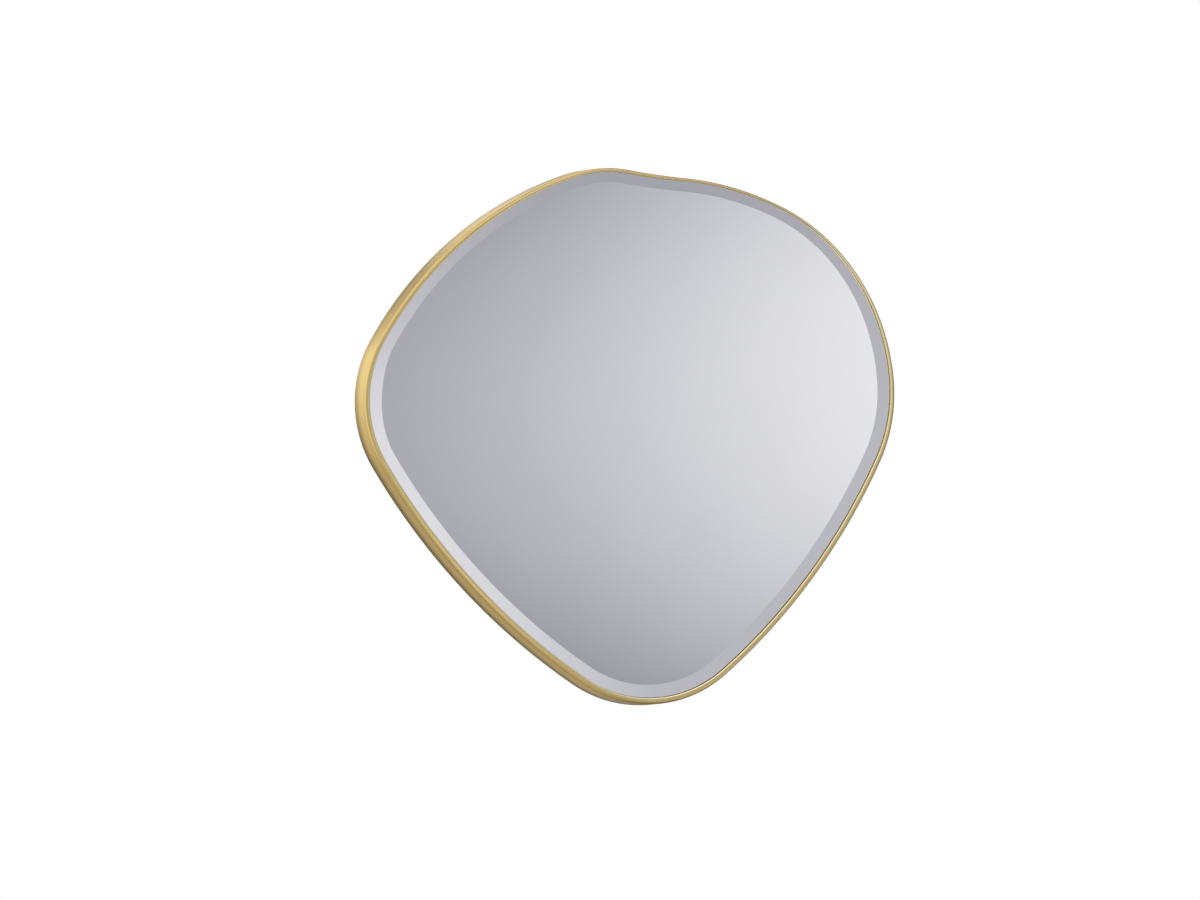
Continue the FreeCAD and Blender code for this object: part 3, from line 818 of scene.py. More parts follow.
@dataclass
class Outline:
    """The closed pebble outline, counterclockwise: the lobe, its shoulder, a hollow waist and corners."""

    lobe_middle: tuple[float, float] = (93.45 * MM, 47.8 * MM)
    lobe_radius: float = 228.5 * MM
    corners: tuple[Corner, ...] = (
        Corner(66.4, 0.0, 356.0 * MM),
        Corner(140.3, 73.5 * MM, 150.0 * MM),
        Corner(183.2, 187.0 * MM, 132.0 * MM),
        Corner(248.9, 128.0 * MM, 150.5 * MM),
        Corner(6.2, 0.0, 171.5 * MM),
    )
    flanks: tuple[float, ...] = (-800.0 * MM, 429.0 * MM, 755.0 * MM, 723.0 * MM)
    sways: tuple[Lobe, ...] = (Lobe(47.0, 30.0, -2.0 * MM), Lobe(141.0, 32.0, 1.3 * MM))
    step: float = 2.2 * MM

    def arcs(self) -> list[Arc]:
        """Join the corners by flanks that touch both, each flank's centre where two circles meet.

        Returns:
            The arcs in order, first the lobe.
        """
        middle = Vector(self.lobe_middle)
        centres = []
        for angle, proud, radius in self.corners:
            turn = math.radians(angle)
            reach = self.lobe_radius + proud - radius
            centres.append(middle + reach * Vector((math.cos(turn), math.sin(turn))))
        touch, start = math.radians(self.corners[-1].angle), math.radians(self.corners[0].angle)
        arcs = [self.sweep(middle, self.lobe_radius, touch, start)]
        for i, flank in enumerate(self.flanks):
            here, there = self.corners[i].radius, self.corners[i + 1].radius
            chord = centres[i + 1] - centres[i]
            near, far = flank - here, flank - there
            along = (near**2 - far**2 + chord.length_squared) / (2 * chord.length)
            side = math.copysign(1.0, flank)
            unit = chord.normalized()
            off = Vector((-unit.y, unit.x)) * math.sqrt(near**2 - along**2) * side
            hub = centres[i] + unit * along + off
            turn, end = self.heading((centres[i] - hub) * side), self.heading((centres[i + 1] - hub) * side)
            arcs += [self.sweep(centres[i], here, start, turn), self.sweep(hub, flank, turn, end)]
            start = end
        arcs.append(self.sweep(centres[-1], self.corners[-1].radius, start, touch))
        return arcs

    @staticmethod
    def heading(vector: Vector) -> float:
        """The direction of a flat vector in radians."""
        return math.atan2(vector.y, vector.x)

    @staticmethod
    def sweep(centre: Vector, radius: float, start: float, end: float) -> Arc:
        """An arc between two directions, the short way round."""
        return Arc(centre, radius, start, (end - start + math.pi) % math.tau - math.pi)

    def stations(self) -> list[Station]:
        """Spread places along the outline.

        Returns:
            Places about a step apart.
        """
        places = []
        travel = 0.0
        for arc in self.arcs():
            count = max(2, round(arc.length() / self.step))
            places += [arc.station(i / count, travel) for i in range(count)]
            travel += arc.length()
        return places

    def sway(self, place: Station) -> float:
        """How much wider than usual the band's nose is at a place, since it is shaped by hand."""
        across, _, up = place.at(0.0, 0.0)
        return swell(math.degrees(math.atan2(up, across)), self.sways)

    def length(self) -> float:
        """The length of the whole outline."""
        return sum(arc.length() for arc in self.arcs())


def add_object(name: str, data: bpy.types.ID) -> bpy.types.Object:
    """Put a new object in the scene.

    Args:
        name: The object's name.
        data: Its mesh, light or camera.

    Returns:
        The object.
    """
    added = bpy.data.objects.new(name, data)
    bpy.context.scene.collection.objects.link(added)
    return added


def make_piece(
    name: str, points: Sequence[Point], faces: Sequence[Sequence[int]], crease: float
) -> bpy.types.Object:
    """Make a smooth mesh piece that rides on the mirror's body.

    Args:
        name: The piece's name.
        points: Its corners.
        faces: Its faces, as numbers of corners.
        crease: The angle in degrees above which an edge stays sharp.

    Returns:
        The piece.
    """
    mesh = bpy.data.meshes.new(name)
    mesh.from_pydata(points, [], faces)
    mesh.shade_smooth()
    mesh.set_sharp_from_angle(angle=math.radians(crease))
    piece = add_object(name, mesh)
    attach(piece, MIRROR_BODY)
    LOG.info("built %s with %d faces", name, len(faces))
    return piece


def dress_node(node: str, finish: Finish) -> None:
    """Give a node of the part its finish.

    Args:
        node: The node's name.
        finish: Its finish.
    """
    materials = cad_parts[node].data.materials
    materials.clear()
    materials.append(finish.material())
    LOG.info("dressed %s in %s", node, finish.name)


class Rib(NamedTuple):
    """One line of the band that runs all round.

    It lies inside the outline by its inset, at its depth, and goes along with the opening by its share,
    from 0 to 1.
    """

    inset: float
    depth: float
    share: float = 0.0


@dataclass
class GiltBand:
    """The bent band: a thin wall with a thick rounded nose in front."""

    outline: Outline
    front: float = -15.75 * MM
    depth: float = 30.0 * MM
    nose_width: float = 5.4 * MM
    nose_depth: float = 7.3 * MM
    opening_rise: float = 1.4 * MM
    nose_outer_round: float = 3.3 * MM
    nose_inner_round: float = 1.7 * MM
    wall: float = 2.0 * MM
    rear_round: float = 1.2 * MM
    round_steps: int = 10
    wall_shares: tuple[float, ...] = (0.02, 0.1, 0.3, 0.5, 0.7, 0.9, 0.98)
    return_shares: tuple[float, ...] = (0.1, 0.5, 1.0)
    crease: float = 30.0

    def quarter(self, inset: float, depth: float, radius: float, first: float, last: float) -> list[Rib]:
        """The ribs of a rounded corner of the nose.

        Args:
            inset, depth: The middle of the round.
            radius: Its radius.
            first, last: The directions where it starts and ends, in degrees, 0 pointing in and 90 to
                the wall.

        Returns:
            The ribs in order.
        """
        ribs = []
        for i in range(self.round_steps + 1):
            turn = math.radians(first + (last - first) * i / self.round_steps)
            ribs.append(self.rib(inset + radius * math.cos(turn), depth + radius * math.sin(turn)))
        return ribs

    def rib(self, inset: float, depth: float) -> Rib:
        """A rib on the nose, with its share of the nose's width."""
        return Rib(inset, depth, inset / self.nose_width)

    def ribs(self) -> list[Rib]:
        """All ribs in order: up the outside from the rear, round the nose and back inside.

        Returns:
            The ribs.
        """
        rear = self.front + self.depth
        outer, inner = self.nose_outer_round, self.nose_inner_round
        rear_middle, nose_start = rear - self.rear_round, self.front + outer
        edge = self.quarter(self.rear_round, rear_middle, self.rear_round, 90, 180)
        ribs = [Rib(rib.inset, rib.depth) for rib in edge]
        ribs += [Rib(0.0, rear_middle + (nose_start - rear_middle) * share) for share in self.wall_shares]
        ribs += self.quarter(outer, nose_start, outer, 180, 270)
        ribs += self.quarter(self.nose_width - inner, self.front + inner, inner, -90, 0)
        for share in self.return_shares:
            ribs.append(self.rib(self.nose_width, self.front + inner + (self.nose_depth - inner) * share))
        ribs += [Rib(self.wall, depth) for depth in (self.front + self.nose_depth, 0.0, rear)]
        return ribs

    def build(self) -> bpy.types.Object:
        """Sweep the ribs round the outline, with a map of length and girth for the brushing.

        Returns:
            The band.
        """
        ribs = self.ribs()
        stations = self.outline.stations()
        count, girth = len(stations), len(ribs)
        points = []
        for place in stations:
            sway = self.outline.sway(place)
            for rib in ribs:
                rise = rib.share * self.opening_rise
                points.append(place.at(rib.inset + rib.share * sway, rib.depth, rise=rise))
        faces = []
        for i in range(count):
            here, there = i * girth, (i + 1) % count * girth
            for j in range(girth):
                k = (j + 1) % girth
                faces.append((here + j, there + j, there + k, here + k))
        piece = make_piece("gilt_band", points, faces, self.crease)
        self.map_brushing(piece.data, stations, ribs)
        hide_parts("frame_band")
        return piece

    def map_brushing(self, mesh: bpy.types.Mesh, stations: Sequence[Station], ribs: Sequence[Rib]) -> None:
        """Write how far each corner of a face lies along the band and round its girth, in metres.

        Args:
            mesh: The band's mesh.
            stations: The places along the outline.
            ribs: The lines round the band.
        """
        ways = [place.travel for place in stations] + [self.outline.length()]
        girths = [0.0]
        for last, rib in zip(ribs, [*ribs[1:], ribs[0]]):
            girths.append(girths[-1] + math.hypot(rib.inset - last.inset, rib.depth - last.depth))
        layer = mesh.uv_layers.new(name=BRUSHING_MAP)
        for number, polygon in enumerate(mesh.polygons):
            i, j = divmod(number, len(ribs))
            corners = ((i, j), (i + 1, j), (i + 1, j + 1), (i, j + 1))
            for loop, (along, around) in zip(polygon.loop_indices, corners):
                layer.uv[loop].vector = (ways[along], girths[around])

    def dress(self, piece: bpy.types.Object) -> None:
        """Gild the band."""
        piece.data.materials.append(GILT.material())


class GlassFace(Enum):
    """The surfaces of the glass, by the number of their material."""

    SILVERED = 0
    EDGE = 1
    PAINTED = 2


@dataclass
class BevelledGlass:
    """The mirror glass with its wide ground bevel."""

    outline: Outline
    front: float = -14.75 * MM
    thickness: float = 5.0 * MM
    rim_inset: float = 5.65 * MM
    rim_rise: float = 1.6 * MM
    bevel_drop: float = 2.0 * MM
    bevel_width: float = 12.9 * MM
    bevel_left: float = 1.9 * MM
    bevel_rise: float = 1.2 * MM
    corner_cuts: tuple[Lobe, ...] = (Lobe(175.0, 24.0, 3.0 * MM), Lobe(8.0, 26.0, 1.5 * MM))
    seam: float = 0.35 * MM
    middle: tuple[float, float] = (12.0 * MM, 20.0 * MM)
    shrinks: tuple[float, ...] = (0.99, 0.9, 0.75, 0.55, 0.35, 0.15)
    crease: float = 4.0

    def rim(self, places: Sequence[Station], inset: float, depth: float) -> list[Point]:
        """A line along the rim of the glass.

        Args:
            places: The places on the outline.
            inset: How far inside the rim it lies.
            depth: Its Y.

        Returns:
            The line's points.
        """
        line = []
        for place in places:
            reach = self.rim_inset + self.outline.sway(place) + inset
            line.append(place.at(reach, depth, rise=self.rim_rise))
        return line

    def arris(self, places: Sequence[Station]) -> list[Point]:
        """The line where the bevel ends, a little further in at the corners that the wheel cuts.

        Args:
            places: The places on the outline.

        Returns:
            The line's points.
        """
        line = []
        for place in places:
            cut = swell(math.degrees(place.angle), self.corner_cuts)
            reach = self.rim_inset + self.outline.sway(place) + self.bevel_width + cut
            line.append(place.at(reach, self.front, -self.bevel_left, self.rim_rise + self.bevel_rise))
        return line

    def drawn_in(self, line: Sequence[Point], share: float) -> list[Point]:
        """Draw a line towards the middle of the glass.

        Args:
            line: The line's points.
            share: How much of the distance to the middle is left.

        Returns:
            The smaller line.
        """
        across, up = self.middle
        return [(across + (x - across) * share, y, up + (z - up) * share) for x, y, z in line]

    def build(self) -> bpy.types.Object:
        """Lay rings from the rear middle over the edge and the bevel to the front middle.

        Returns:
            The glass.
        """
        places = self.outline.stations()
        rear = self.front + self.thickness
        rim_depth = self.front + self.bevel_drop
        seam_depth = rim_depth - self.bevel_drop * self.seam / self.bevel_width
        rear_rim, arris = self.rim(places, 0.0, rear), self.arris(places)
        rings = [self.drawn_in(rear_rim, share) for share in reversed(self.shrinks)]
        kinds = [GlassFace.PAINTED] * len(rings)
        edge = self.rim(places, 0.0, rim_depth + self.seam)
        rings += [rear_rim, edge, self.rim(places, self.seam, seam_depth), arris]
        kinds += [GlassFace.EDGE, GlassFace.SILVERED, GlassFace.SILVERED, GlassFace.SILVERED]
        rings += [self.drawn_in(arris, share) for share in self.shrinks]
        kinds += [GlassFace.SILVERED] * (len(self.shrinks) - 1)
        count = len(places)
        points = [point for line in rings for point in line]
        faces, surfaces = [], []
        for number, kind in enumerate(kinds):
            here, there = number * count, (number + 1) * count
            for i in range(count):
                k = (i + 1) % count
                faces.append((here + i, here + k, there + k, there + i))
                surfaces.append(kind.value)
        across, up = self.middle
        points += [(across, rear, up), (across, self.front, up)]
        rear_middle, front_middle = len(points) - 2, len(points) - 1
        last = (len(rings) - 1) * count
        for i in range(count):
            k = (i + 1) % count
            faces += [(rear_middle, k, i), (last + i, last + k, front_middle)]
            surfaces += [GlassFace.PAINTED.value, GlassFace.SILVERED.value]
        piece = make_piece("bevelled_glass", points, faces, self.crease)
        piece.data.polygons.foreach_set("material_index", surfaces)
        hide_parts("mirror_glass")
        return piece

    def dress(self, piece: bpy.types.Object) -> None:
        """Silver the face, and finish the edge and the painted back."""
        for finish in (SilveredGlass(), GlassEdge(), BackPaint()):
            piece.data.materials.append(finish.material())


@dataclass
class Backing:
    """The layers behind the glass: film, foam tape and board."""

    tapes: int = 5

    def dress(self) -> None:
        """Give each layer its finish."""
        dress_node("safety_film", FILM)
        for number in range(1, self.tapes + 1):
            dress_node("tape_strip_%d" % number, FOAM)
        dress_node("back_board", Fibreboard())


@dataclass
class DomedScrews:
    """A set of screws with domed heads and cross recesses, pointing to the glass."""

    name: str
    node: str
    places: Sequence[tuple[float, float]]
    seat: float
    head_radius: float = 3.5 * MM
    head_height: float = 2.4 * MM
    dome_shares: tuple[float, ...] = (1.0, 0.97, 0.9, 0.8, 0.7)
    shank_radius: float = 1.75 * MM
    shank_end: float = 6.5 * MM
    tip_radius: float = 0.1 * MM
    length: float = 9.0 * MM
    cross_reach: float = 1.95 * MM
    cross_half: float = 0.5 * MM
    lip_share: float = 1.04
    lip_drop: float = 0.05 * MM
    floor_reach: float = 1.0 * MM
    floor_half: float = 0.34 * MM
    recess: float = 1.5 * MM
    facets: tuple[float, ...] = (22.0, 34.0, 45.0, 56.0, 68.0)
    turn_step: float = 137.5
    crease: float = 35.0

    def directions(self) -> list[float]:
        """Angles round the head that hit every corner of the cross.

        Returns:
            The angles in radians.
        """
        corner = math.degrees(math.atan2(self.cross_half, self.cross_reach))
        quarter = [-corner, 0.0, corner, *self.facets]
        return [math.radians(90 * arm + angle) for arm in range(4) for angle in quarter]

    @staticmethod
    def cross_at(angle: float, reach: float, half: float) -> float:
        """How far the edge of a cross lies from its middle.

        Args:
            angle: The direction in radians.
            reach: Half the length of the cross.
            half: Half the width of its arms.

        Returns:
            The distance.
        """
        off = abs((angle + math.pi / 4) % (math.pi / 2) - math.pi / 4)
        if math.tan(off) <= half / reach + 1e-6:
            return reach / math.cos(off)
        return half / math.sin(off)

    def dome(self, radius: float) -> float:
        """The height of the domed head above its seat, at a distance from its middle."""
        ball = (self.head_radius**2 + self.head_height**2) / (2 * self.head_height)
        return math.sqrt(ball**2 - radius**2) - ball + self.head_height

    def rings(self) -> list[list[tuple[float, float]]]:
        """Rings from the tip of the shank to the floor of the recess.

        Returns:
            Each ring's places, as distances from the screw's line and heights above the seat.
        """
        angles = self.directions()
        tip, shank = (self.tip_radius, -self.length), (self.shank_radius, -self.shank_end)
        plain = [tip, shank, (self.shank_radius, 0.0)]
        for share in self.dome_shares:
            radius = self.head_radius * share
            plain.append((radius, self.dome(radius)))
        rings = [[place] * len(angles) for place in plain]
        lip = [self.cross_at(angle, self.cross_reach, self.cross_half) for angle in angles]
        rings.append([(self.lip_share * r, self.dome(self.lip_share * r)) for r in lip])
        rings.append([(r, self.dome(r) - self.lip_drop) for r in lip])
        floor = [self.cross_at(angle, self.floor_reach, self.floor_half) for angle in angles]
        rings.append([(r, self.head_height - self.recess) for r in floor])
        return rings

    def build(self) -> bpy.types.Object:
        """Turn one screw for every place.

        Returns:
            All the screws as one piece.
        """
        angles, rings = self.directions(), self.rings()
        count = len(angles)
        points, faces = [], []
        for number, (x, z) in enumerate(self.places):
            first = len(points)
            twist = math.radians(self.turn_step * number)
            for line in rings:
                for angle, (radius, height) in zip(angles, line):
                    turn = angle + twist
                    across, up = x + radius * math.cos(turn), z + radius * math.sin(turn)
                    points.append((across, self.seat + height, up))
            for level in range(len(rings) - 1):
                here, there = first + level * count, first + (level + 1) * count
                for i in range(count):
                    k = (i + 1) % count
                    faces.append((here + k, here + i, there + i, there + k))
            faces.append([first + i for i in range(count)])
            last = first + (len(rings) - 1) * count
            faces.append([last + i for i in reversed(range(count))])
        piece = make_piece(self.name, points, faces, self.crease)
        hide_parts(self.node)
        return piece

    def dress(self, piece: bpy.types.Object) -> None:
        """Plate the screws."""
        piece.data.materials.append(SCREW_ZINC.material())


@dataclass
class Hardware:
    """Brackets, hanging straps, rings and bumpers, and the places of their screws."""

    outline: Outline
    board_rear: float = 0.55 * MM
    brackets_on_arcs: tuple[int, ...] = (2, 0, 0, 1, 1, 1, 1, 1, 1, 1)
    bracket_clearance: float = 2.3 * MM
    bracket_half_width: float = 12.0 * MM
    bracket_screw_reach: float = 9.0 * MM
    bracket_sheet: float = 1.5 * MM
    sides: tuple[str, ...] = ("left", "right")
    hanger_half_span: float = 175.0 * MM
    hanger_screw_heights: tuple[float, ...] = (111.0 * MM, 91.0 * MM)
    strap_sheet: float = 1.2 * MM
    bumpers: int = 4
    bumper_floor: float = 3.0 * MM

    def dress(self) -> None:
        """Give each fitting its finish."""
        for number in range(1, sum(self.brackets_on_arcs) + 1):
            dress_node("bracket_%d" % number, ZINC)
        for side in self.sides:
            dress_node("hanger_strap_" + side, NICKEL)
            dress_node("hanger_ring_" + side, NICKEL)
        for bumper in self.bumper_names():
            dress_node(bumper, MouldedRubber())

    def bumper_names(self) -> list[str]:
        """The names of the bumpers."""
        return ["wall_bumper_%d" % number for number in range(1, self.bumpers + 1)]

    def bracket_places(self) -> list[tuple[float, float]]:
        """Where the brackets' screws stand: the middle of each foot, spread along the arcs.

        Returns:
            The places as X and Z.
        """
        places = []
        for arc, count in zip(self.outline.arcs(), self.brackets_on_arcs):
            # The flat leg stands back from the curved band until its ends clear it
            clear = (arc.radius - self.bracket_clearance) ** 2 - self.bracket_half_width**2
            inset = arc.radius - math.sqrt(clear) + self.bracket_screw_reach
            for i in range(count):
                across, _, up = arc.station((i + 0.5) / count, 0.0).at(inset, 0.0)
                places.append((across, up))
        return places

    def bumper_places(self) -> list[tuple[float, float]]:
        """Where the bumpers' screws stand: the middle of each bumper.

        Returns:
            The places as X and Z.
        """
        boxes = [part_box(bumper) for bumper in self.bumper_names()]
        return [((low[0] + high[0]) / 2, (low[2] + high[2]) / 2) for low, high in boxes]

    def screws(self) -> list[DomedScrews]:
        """The sets of screws, each on the sheet that it holds.

        Returns:
            The screws of the brackets, the hanging straps and the bumpers.
        """
        spans, heights = (-self.hanger_half_span, self.hanger_half_span), self.hanger_screw_heights
        hangers = [(span, height) for span in spans for height in heights]
        brackets, bumpers, rear = self.bracket_places(), self.bumper_places(), self.board_rear
        return [
            DomedScrews("bracket_cross_screws", "bracket_screws", brackets, rear + self.bracket_sheet),
            DomedScrews("hanger_cross_screws", "hanger_screws", hangers, rear + self.strap_sheet),
            DomedScrews("bumper_cross_screws", "bumper_screws", bumpers, rear + self.bumper_floor),
        ]


class Term(NamedTuple):
    """A term of the card's tone: the powers of the way across and the way up, and its weight."""

    across: int
    up: int
    weight: float


class Wave(NamedTuple):
    """A wave of tone round the card: how often it repeats, and its weights."""

    repeats: int
    cosine: float
    sine: float


class Glow(NamedTuple):
    """A soft lit patch on the card: its place, half its size, and its strength."""

    across: float
    up: float
    half_width: float
    half_height: float
    strength: float


@dataclass
class ReflectorCard:
    """A large soft card before the mirror, which gives its face and bevel their tones."""

    azimuth: float = 25.0
    elevation: float = 3.0
    distance: float = 1.5
    radius: float = 2.2
    rings: int = 110
    spokes: int = 180
    face: tuple[Term, ...] = (
        Term(0, 0, 0.699), Term(1, 0, 0.816), Term(0, 1, 0.254), Term(1, 1, 0.525),
        Term(2, 0, -0.011), Term(0, 2, -2.62), Term(3, 0, -1.264), Term(2, 1, 0.436),
    )
    ring: tuple[Wave, ...] = (
        Wave(0, 0.605, 0.0), Wave(1, -0.106, -0.086), Wave(2, 0.08, 0.032), Wave(3, -0.013, -0.009),
    )
    ring_from: float = 0.34
    ring_to: float = 0.60
    halo_reach: float = 0.46
    halo_width: float = 0.07
    halo_tone: float = 0.24
    halo_sway: float = 0.16
    halo_turn: float = 55.0
    far_tone: float = 0.62
    far_lobes: tuple[Lobe, ...] = (Lobe(-50.0, 26.0, 0.85), Lobe(2.0, 24.0, -0.30))
    far_from: float = 0.95
    far_to: float = 1.45
    glows: tuple[Glow, ...] = (Glow(0.0, 1.3, 0.8, 0.18, 1.6), Glow(-0.95, -0.95, 0.3, 0.3, 1.8))
    cool: Colour = (0.933, 0.946, 1.0)
    cool_tone: float = 0.45
    plain_tone: float = 0.88
    fade: tuple[float, float] = (0.78, 0.99)

    def tone(self, across: float, up: float) -> float:
        """The brightness of the card.

        Args:
            across, up: A place on the card, from its middle, as the mirror shows it.

        Returns:
            The brightness, where 1 is white.
        """
        reach, turn = math.hypot(across, up), math.atan2(up, across)
        face = sum(term.weight * across**term.across * up**term.up for term in self.face)
        ring = 0.0
        for wave in self.ring:
            ring += wave.cosine * math.cos(wave.repeats * turn) + wave.sine * math.sin(wave.repeats * turn)
        halo = self.halo_tone - self.halo_sway * math.cos(turn - math.radians(self.halo_turn))
        halo *= math.exp(-(((reach - self.halo_reach) / self.halo_width) ** 2))
        near = face + (ring - face) * self.ease(reach, self.ring_from, self.ring_to) + halo
        far = self.far_tone + swell(math.degrees(turn), self.far_lobes)
        tone = near + (far - near) * self.ease(reach, self.far_from, self.far_to)
        for glow in self.glows:
            off = ((across - glow.across) / glow.half_width) ** 2 + ((up - glow.up) / glow.half_height) ** 2
            tone += glow.strength * math.exp(-off)
        return tone

    @staticmethod
    def ease(reach: float, start: float, end: float) -> float:
        """A smooth step from 0 at the start to 1 at the end."""
        held = min(max((reach - start) / (end - start), 0.0), 1.0)
        return held * held * (3 - 2 * held)

    def build(self) -> bpy.types.Object:
        """A round card of fine rings, each corner with its tone.

        Returns:
            The card.
        """
        out = direction_to(self.azimuth, self.elevation)
        turn = math.radians(self.azimuth)
        right = Vector((math.cos(turn), math.sin(turn), 0.0))
        up = right.cross(-out)
        points, tones, faces = [out * self.distance], [self.tone(0.0, 0.0)], []
        for ring in range(1, self.rings + 1):
            reach = self.radius * ring / self.rings
            for spoke in range(self.spokes):
                angle = math.tau * spoke / self.spokes
                across, high = reach * math.cos(angle), reach * math.sin(angle)
                points.append(out * self.distance + right * across + up * high)
                tones.append(self.tone(across, high))
        for spoke in range(self.spokes):
            k = (spoke + 1) % self.spokes
            faces.append((0, 1 + spoke, 1 + k))
            for ring in range(self.rings - 1):
                here, there = 1 + ring * self.spokes, 1 + (ring + 1) * self.spokes
                faces.append((here + spoke, there + spoke, there + k, here + k))
        mesh = bpy.data.meshes.new("reflector_card")
        mesh.from_pydata(points, [], faces)
        mesh.attributes.new("tone", "FLOAT", "POINT").data.foreach_set("value", tones)
        card = add_object("reflector_card", mesh)
        card.visible_camera = card.visible_diffuse = card.visible_shadow = False
        card.visible_transmission = card.visible_volume_scatter = False
        return card

    def dress(self, card: bpy.types.Object) -> None:
        """Let the card glow with its tones, and fade out at its rim.

        Args:
            card: The card.
        """
        material, tree = new_material("reflector_card")
        material.cycles.emission_sampling = "NONE"
        tone = tree.add("Attribute", {"attribute_name": "tone"}).outputs["Fac"]
        tint = tree.blend(tree.ramp(tone, self.cool_tone, self.plain_tone), self.cool, grey(1.0))
        glow = tree.add("Emission", Color=tint, Strength=tone)
        start, end = (math.hypot(self.distance, share * self.radius) for share in self.fade)
        rim = tree.ramp(tree.length(tree.place()), start, end)
        tree.fade_out(rim, glow)
        card.data.materials.append(material)


@dataclass
class Lamp:
    """A soft square lamp that points to the mirror, which doesn't show it."""

    name: str
    place: Point
    power: float
    side: float

    def build(self) -> None:
        """Hang the lamp."""
        light = bpy.data.lights.new(self.name, "AREA")
        light.energy, light.size = self.power, self.side
        lamp = add_object(self.name, light)
        lamp.location = self.place
        lamp.visible_glossy = False
        lamp.rotation_euler = Vector(self.place).to_track_quat("Z", "Y").to_euler()


class Span(NamedTuple):
    """A stretch of one axis of the direction, over which a zone comes in."""

    axis: str
    start: float
    end: float


class Zone(NamedTuple):
    """A zone of the room: its tone, and the stretches over which it comes in."""

    tone: Colour
    spans: tuple[Span, ...]

    def share(self, tree: Tree, parts: dict[str, Socket]) -> Socket:
        """How much of the zone shows in a direction.

        Args:
            tree: The world's tree.
            parts: The parts of the direction, by axis.

        Returns:
            The share from 0 to 1.
        """
        shares = [tree.ramp(parts[span.axis], span.start, span.end) for span in self.spans]
        share = shares[0]
        for other in shares[1:]:
            share = tree.math("MULTIPLY", share, other)
        return share

    def over(self, tree: Tree, parts: dict[str, Socket], under: object) -> Socket:
        """Lay the zone over a tone or its socket."""
        return tree.blend(self.share(tree, parts), under, self.tone)


@dataclass
class Room:
    """A softly shaded room that only metal and glass show. Everything else sees plain soft white."""

    ground: Colour = grey(0.85)
    ground_right: Zone = Zone(grey(0.22), (Span("X", -0.1, 0.4),))
    level: Zone = Zone((0.84, 0.84, 0.85), (Span("Z", -0.75, 0.05),))
    left: Zone = Zone((0.58, 0.58, 0.60), (Span("X", -0.45, -0.95),))
    ceiling: Zone = Zone(grey(1.05), (Span("Z", 0.15, 0.5),))
    ceiling_right: Zone = Zone(grey(1.3), (Span("X", -0.45, -0.15),))
    right: Zone = Zone(grey(0.42), (Span("X", 0.45, 0.9),))
    lower_wall: Colour = (0.48, 0.44, 0.36)
    upper_wall: Zone = Zone((1.52, 1.51, 1.46), (Span("Z", -0.6, 0.35),))
    doorway: Zone = Zone(
        (0.28, 0.27, 0.24), (Span("X", -0.20, -0.08), Span("X", 0.14, 0.02), Span("Z", 0.15, 0.35))
    )
    corner: Zone = Zone(grey(0.32), (Span("X", 0.16, 0.42),))
    behind: Span = Span("Y", -0.15, 0.35)
    beside: Zone = Zone((1.4, 1.4, 1.38), (Span("X", -0.62, -0.88), Span("Y", -0.53, -0.13)))
    soft: Colour = (0.72, 0.72, 0.73)

    def front(self, tree: Tree, parts: dict[str, Socket]) -> Socket:
        """The tones before the mirror.

        Args:
            tree: The world's tree.
            parts: The parts of the direction, by axis.

        Returns:
            The tone in that direction.
        """
        ground = self.ground_right.over(tree, parts, self.ground)
        walls = self.left.over(tree, parts, self.level.over(tree, parts, ground))
        ceiling = self.ceiling_right.over(tree, parts, self.ceiling.tone)
        room = tree.blend(self.ceiling.share(tree, parts), walls, ceiling)
        return self.right.over(tree, parts, room)

    def rear(self, tree: Tree, parts: dict[str, Socket]) -> Socket:
        """The tones behind the mirror.

        Args:
            tree: The world's tree.
            parts: The parts of the direction, by axis.

        Returns:
            The tone in that direction.
        """
        tone = self.lower_wall
        for zone in (self.upper_wall, self.doorway, self.corner):
            tone = zone.over(tree, parts, tone)
        return tone

    def build(self) -> None:
        """Make the world."""
        world = bpy.data.worlds.new("studio")
        bpy.context.scene.world = world
        world.use_nodes = True
        tree = Tree(world.node_tree)
        parts = tree.parts(tree.add("TexCoord").outputs["Generated"])
        behind = tree.ramp(parts[self.behind.axis], self.behind.start, self.behind.end)
        around = tree.blend(behind, self.front(tree, parts), self.rear(tree, parts))
        shown = self.beside.over(tree, parts, around)
        path = tree.add("LightPath").outputs
        mirrored = tree.math("MAXIMUM", path["Is Glossy Ray"], path["Is Transmission Ray"])
        lit = tree.blend(mirrored, self.soft, shown)
        final = tree.blend(path["Is Camera Ray"], lit, grey(1.0))
        background = tree.add("Background", Color=final, Strength=1.0)
        tree.add("OutputWorld", Surface=background.outputs[0])


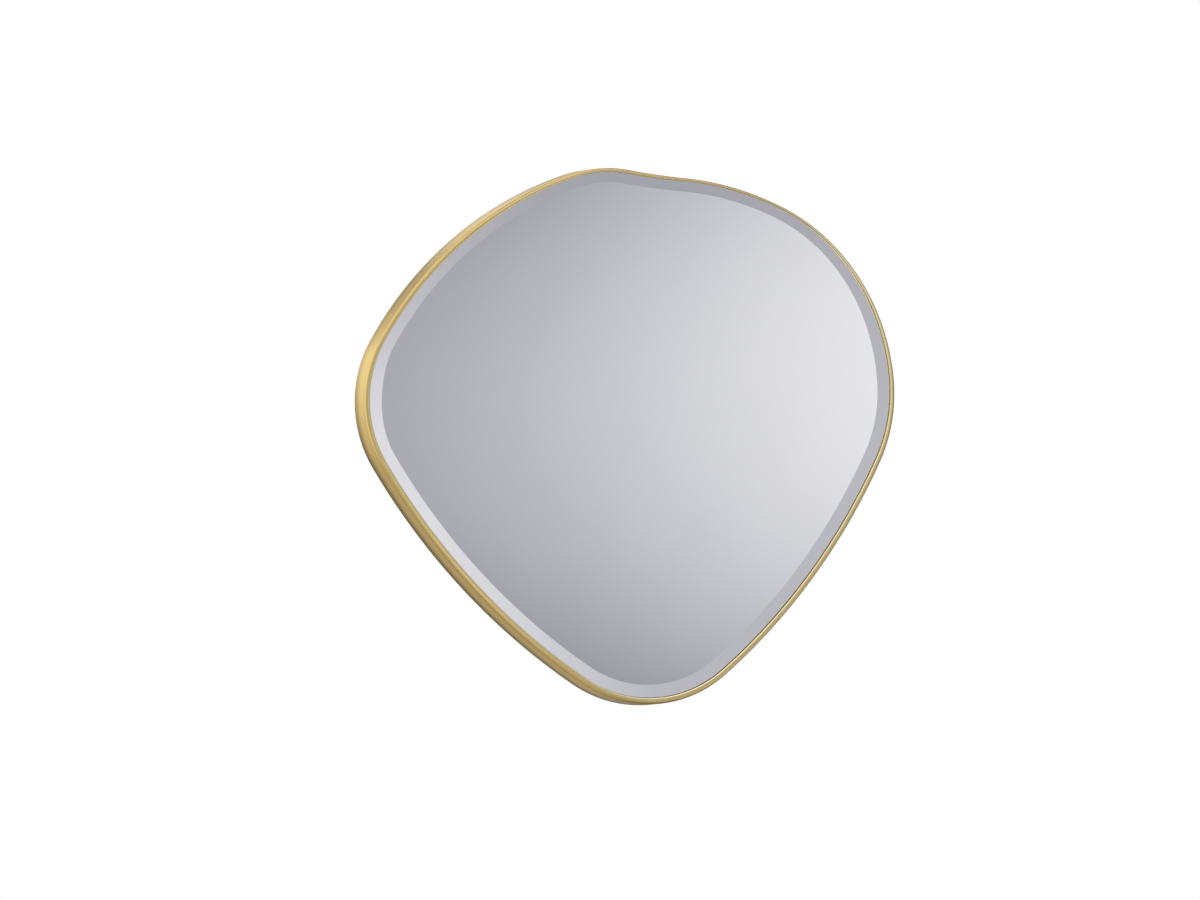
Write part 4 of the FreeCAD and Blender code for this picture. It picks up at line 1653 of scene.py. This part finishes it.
@dataclass
class Floor:
    """A round pale floor that fades out at its rim and is clear from below."""

    radius: float = 3.0
    drop: float = 0.5 * MM
    spokes: int = 96
    fade_from: float = 0.8
    fade_to: float = 2.6
    pale: Colour = grey(0.93)

    def build(self) -> bpy.types.Object:
        """Lay the floor under the object.

        Returns:
            The floor.
        """
        height = CAD_BOX[0][2] - self.drop
        turns = [math.tau * i / self.spokes for i in range(self.spokes)]
        points = [(self.radius * math.cos(turn), self.radius * math.sin(turn), height) for turn in turns]
        mesh = bpy.data.meshes.new("floor")
        mesh.from_pydata(points, [], [list(range(self.spokes))])
        floor = add_object("floor", mesh)
        floor.visible_glossy = False
        return floor

    def dress(self, floor: bpy.types.Object) -> None:
        """Paint the floor, and let it fade out.

        Args:
            floor: The floor.
        """
        material, tree = new_material("pale_floor")
        parts = tree.parts(tree.place())
        reach = tree.length(tree.add("CombineXYZ", X=parts["X"], Y=parts["Y"]).outputs[0])
        smooth = {"interpolation_type": "SMOOTHSTEP"}
        fade = tree.add("MapRange", smooth, Value=reach, From_Min=self.fade_from, From_Max=self.fade_to)
        underside = tree.add("NewGeometry").outputs["Backfacing"]
        clear = tree.math("MAXIMUM", fade.outputs["Result"], underside)
        tree.fade_out(clear, tree.add("BsdfDiffuse", Color=self.pale))
        floor.data.materials.append(material)


@dataclass
class Studio:
    """The camera, a pale floor, soft light all round and the card."""

    azimuth: float = -25.0
    elevation: float = -3.0
    lens: float = 800.0
    sensor: float = 36.0
    frame_width: float = 1.32
    target: Point = (0.0, -15.75 * MM, 0.0)
    aside: tuple[float, float] = (34.9 * MM, 15.3 * MM)
    sight: float = 200.0
    lamps: tuple[Lamp, ...] = (
        Lamp("key_lamp", (-1.9, -1.8, 2.6), power=24.0, side=1.6),
        Lamp("fill_lamp", (2.6, -1.2, 1.6), power=14.0, side=1.8),
        Lamp("rear_lamp", (-1.2, 2.6, 2.2), power=22.0, side=1.6),
    )

    def build_camera(self) -> None:
        """Set the camera at the viewing angle, far off with a long lens."""
        back = direction_to(self.azimuth, self.elevation)
        facing = (-back).to_track_quat("-Z", "Y")
        right, up = facing @ Vector((1, 0, 0)), facing @ Vector((0, 1, 0))
        aim = Vector(self.target) - right * self.aside[0] - up * self.aside[1]
        data = bpy.data.cameras.new("camera")
        data.lens, data.sensor_width, data.clip_end = self.lens, self.sensor, self.sight
        camera = add_object("camera", data)
        camera.location = aim + back * (self.frame_width * self.lens / self.sensor)
        camera.rotation_mode = "QUATERNION"
        camera.rotation_quaternion = facing
        bpy.context.scene.camera = camera

    def build(self) -> None:
        """Set up the camera, the room, the floor, the lamps and the card."""
        self.build_camera()
        Room().build()
        floor, card = Floor(), ReflectorCard()
        floor.dress(floor.build())
        for lamp in self.lamps:
            lamp.build()
        card.dress(card.build())
        bpy.context.scene.view_settings.view_transform = "Standard"


def main() -> None:
    """Build the studio and the mirror, piece by piece."""
    logging.basicConfig(level=logging.INFO, format="%(name)s: %(message)s")
    Studio().build()
    outline = Outline()
    band = GiltBand(outline)
    band.dress(band.build())
    glass = BevelledGlass(outline)
    glass.dress(glass.build())
    Backing().dress()
    hardware = Hardware(outline)
    hardware.dress()
    for screws in hardware.screws():
        screws.dress(screws.build())


if __name__ == "__main__":
    main()
